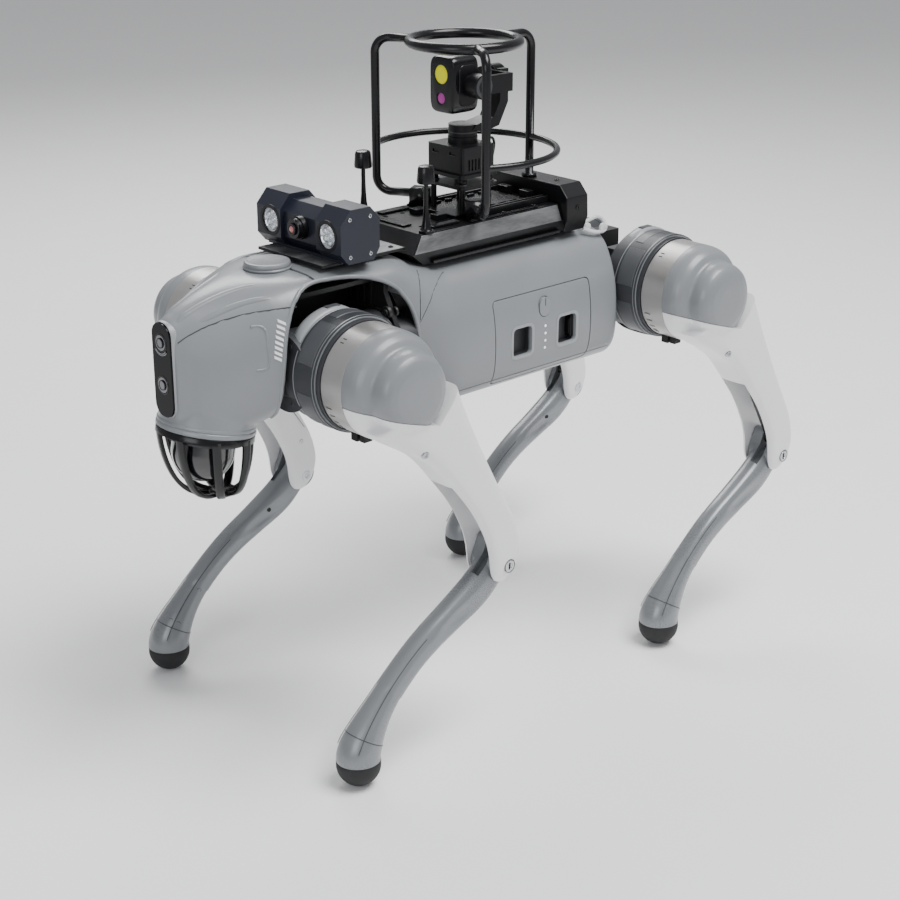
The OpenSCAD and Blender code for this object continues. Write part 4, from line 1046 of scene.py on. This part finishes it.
for k in range(5):
    a = math.radians(200 + 34 * k)
    bolts.append(screw((41 * math.cos(a), 52.6, 41 * math.sin(a)), (0, -1, 0), 2.0, 0.8))
on_hips("drum_bolts", bolts, SCREW)
lead = spline([(-20, 40, -28), (-26, 46, -35), (-24, 58, -43), (-14, 72, -48.2), (-8, 84, -49.2), (-6, 96, -48)], 6)
on_hips("motor_lead", tube(lead, 1.5, 10), CAGE)

# ---- shin and foot

LINE = [((0, 0), 15, 12.6), ((11, -12), 15.5, 12.6), ((21, -20.5), 16, 12.6), ((33, -28), 15.4, 12.6), ((54, -39),
        13.6, 12.2),
        ((77, -51), 12.5, 11.8), ((98.5, -65), 11.8, 11.4), ((120, -83), 11.8, 11.7), ((135, -98.5), 13.0, 13.0),
        ((146.5, -113), 15.6, 15.6), ((154.5, -126), 18.2, 18.2), ((FX - KX, -134.5), 19.0, 19.0), ((FX - KX, -138),
                19.3, 19.3)]
flat = spline([(c[0], c[1], h, b) for c, h, b in LINE], 9)
calf_rings = []
m = len(flat)
for i, (x, z, h, b) in enumerate(flat):
    a, c = flat[max(i - 1, 0)], flat[min(i + 1, m - 1)]
    w = Vector((c[0] - a[0], 0, c[1] - a[1])).normalized()
    if i > m - 12:
        w = (w * (m - 1 - i) / 11 + Vector((0, 0, -1)) * (1 - (m - 1 - i) / 11)).normalized()
    f = Vector((-w.z, 0, w.x))
    u = math.hypot(x, z)
    ring = []
    for k in range(48):
        t = 2 * math.pi * k / 48
        ct, st = math.cos(t), math.sin(t)
        p = 0.86 if u < 150 else 1.0
        df, dy = h * math.copysign(abs(ct) ** p, ct), b * math.copysign(abs(st) ** p, st)
        # a shallow leaf-shaped scoop on each side below the knee
        if 24 < u < 92:
            s1 = math.sin(math.pi * (u - 24) / 68)
            centre = -0.25 + 0.55 * (u - 24) / 68
            g = math.exp(-((ct - centre) / 0.34) ** 2) * s1 ** 1.2
            dy *= 1 - 0.24 * g
        # a flat ridge down the front
        if ct > 0.75 and 30 < u < 150:
            df *= 1 + 0.05 * math.sin(math.pi * (u - 30) / 120)
        ring.append((KX + x + f.x * df, LEG_Y + dy, KZ + z + f.z * df))
    calf_rings.append(ring)
shin = solid(loft(calf_rings))
hub = turned([(0, -13.2), (14.4, -13.2), (15, -12.4), (15, 12.4), (14.4, 13.2), (0, 13.2)], (KX, LEG_Y, KZ), AY, 64)
top = prism([(KX + x, KZ + z) for x, z in spline([(-9.5, 2), (-8, 15), (-4.5, 22), (1, 24), (6, 22), (9, 15), (14, 2), (8, -8), (-4, -8)], 5, closed=True)], "y", 128.9, 155.1)
shin = boolean(shin, hub, "UNION")
shin = boolean(shin, top, "UNION")
shin = boolean(shin, prism([(KX + x, KZ + z) for x, z in [(-30, 8), (-18, -6), (-8, 3), (8, 3), (24, -10), (34, 14), (20, 40), (-30, 40)]], "y", 141.2, 149.4))
shin = boolean(shin, turned([(0, -20), (6.05, -20), (6.05, 20), (0, 20)], (KX, LEG_Y, KZ), AY, 48))
on_legs("shin", shin, SHIN, "calf", swap=["calf"], bevel=0.5, angle=48, sharp=48)
on_legs("link_pin", turned([(0, 0), (4, 0), (4, 14), (0, 14)], (KX, 139, KZ + 16), AY, 32), SCREW, "calf")
k = min(range(m), key=lambda i: abs(flat[i][1] + 121))
on_legs("ankle_seam", tube(calf_rings[k], 0.4, 8, closed=True), SEAM, "calf")
edge = []
for s in SIDES:
    pts = []
    for i in range(3, m - 14):
        x, z, h, b = flat[i]
        if math.hypot(x, z) < 96:
            continue
        a, c = flat[i - 1], flat[i + 1]
        w = Vector((c[0] - a[0], 0, c[1] - a[1])).normalized()
        f = Vector((-w.z, 0, w.x))
        t = 0.80
        ct, st = math.cos(t), math.sin(t)
        pts.append((KX + x + f.x * h * ct ** 0.86, LEG_Y + s * b * st ** 0.86, KZ + z + f.z * h * ct ** 0.86))
    edge.append(tube(pts, 0.35, 6))
on_legs("shin_seams", edge, SEAM, "calf")
sc = []
for i, t in ((k - 3, -1.05), (k - 3, -0.55), (30, -1.25), (66, -1.3)):
    x, z, h, b = flat[i]
    a, c = flat[i - 1], flat[i + 1]
    w = Vector((c[0] - a[0], 0, c[1] - a[1])).normalized()
    f = Vector((-w.z, 0, w.x))
    way = f * math.cos(t) + Vector((0, math.sin(t), 0))
    at = Vector((KX + x, LEG_Y, KZ + z)) + f * (h * math.cos(t) * 0.97) + Vector((0, b * math.sin(t) * 0.97, 0))
    sc.append(socket(tuple(at), way, 2.2))
on_legs("shin_screws", sc, LINER, "calf")
prof = []
for k in range(0, 15):
    a = math.radians(-90 + k * 7.4)
    r, h = FOOT_R * math.cos(a), FOOT_R * math.sin(a)
    if h < 4.6:
        prof.append((max(r, 0), h))
prof += [(19.0, 4.0), (18.7, 4.7), (0, 4.7)]
on_legs("sole", turned(prof, (FX, LEG_Y, FZ), AZ, 64), RUBBER, "calf", swap=["foot"], sharp=50)
ribs = [ring_of((FX, LEG_Y, FZ + 2.6), AZ, 18.9, 19.45, 0.7, 64)]
on_legs("sole_band", ribs, RUBBER, "calf")
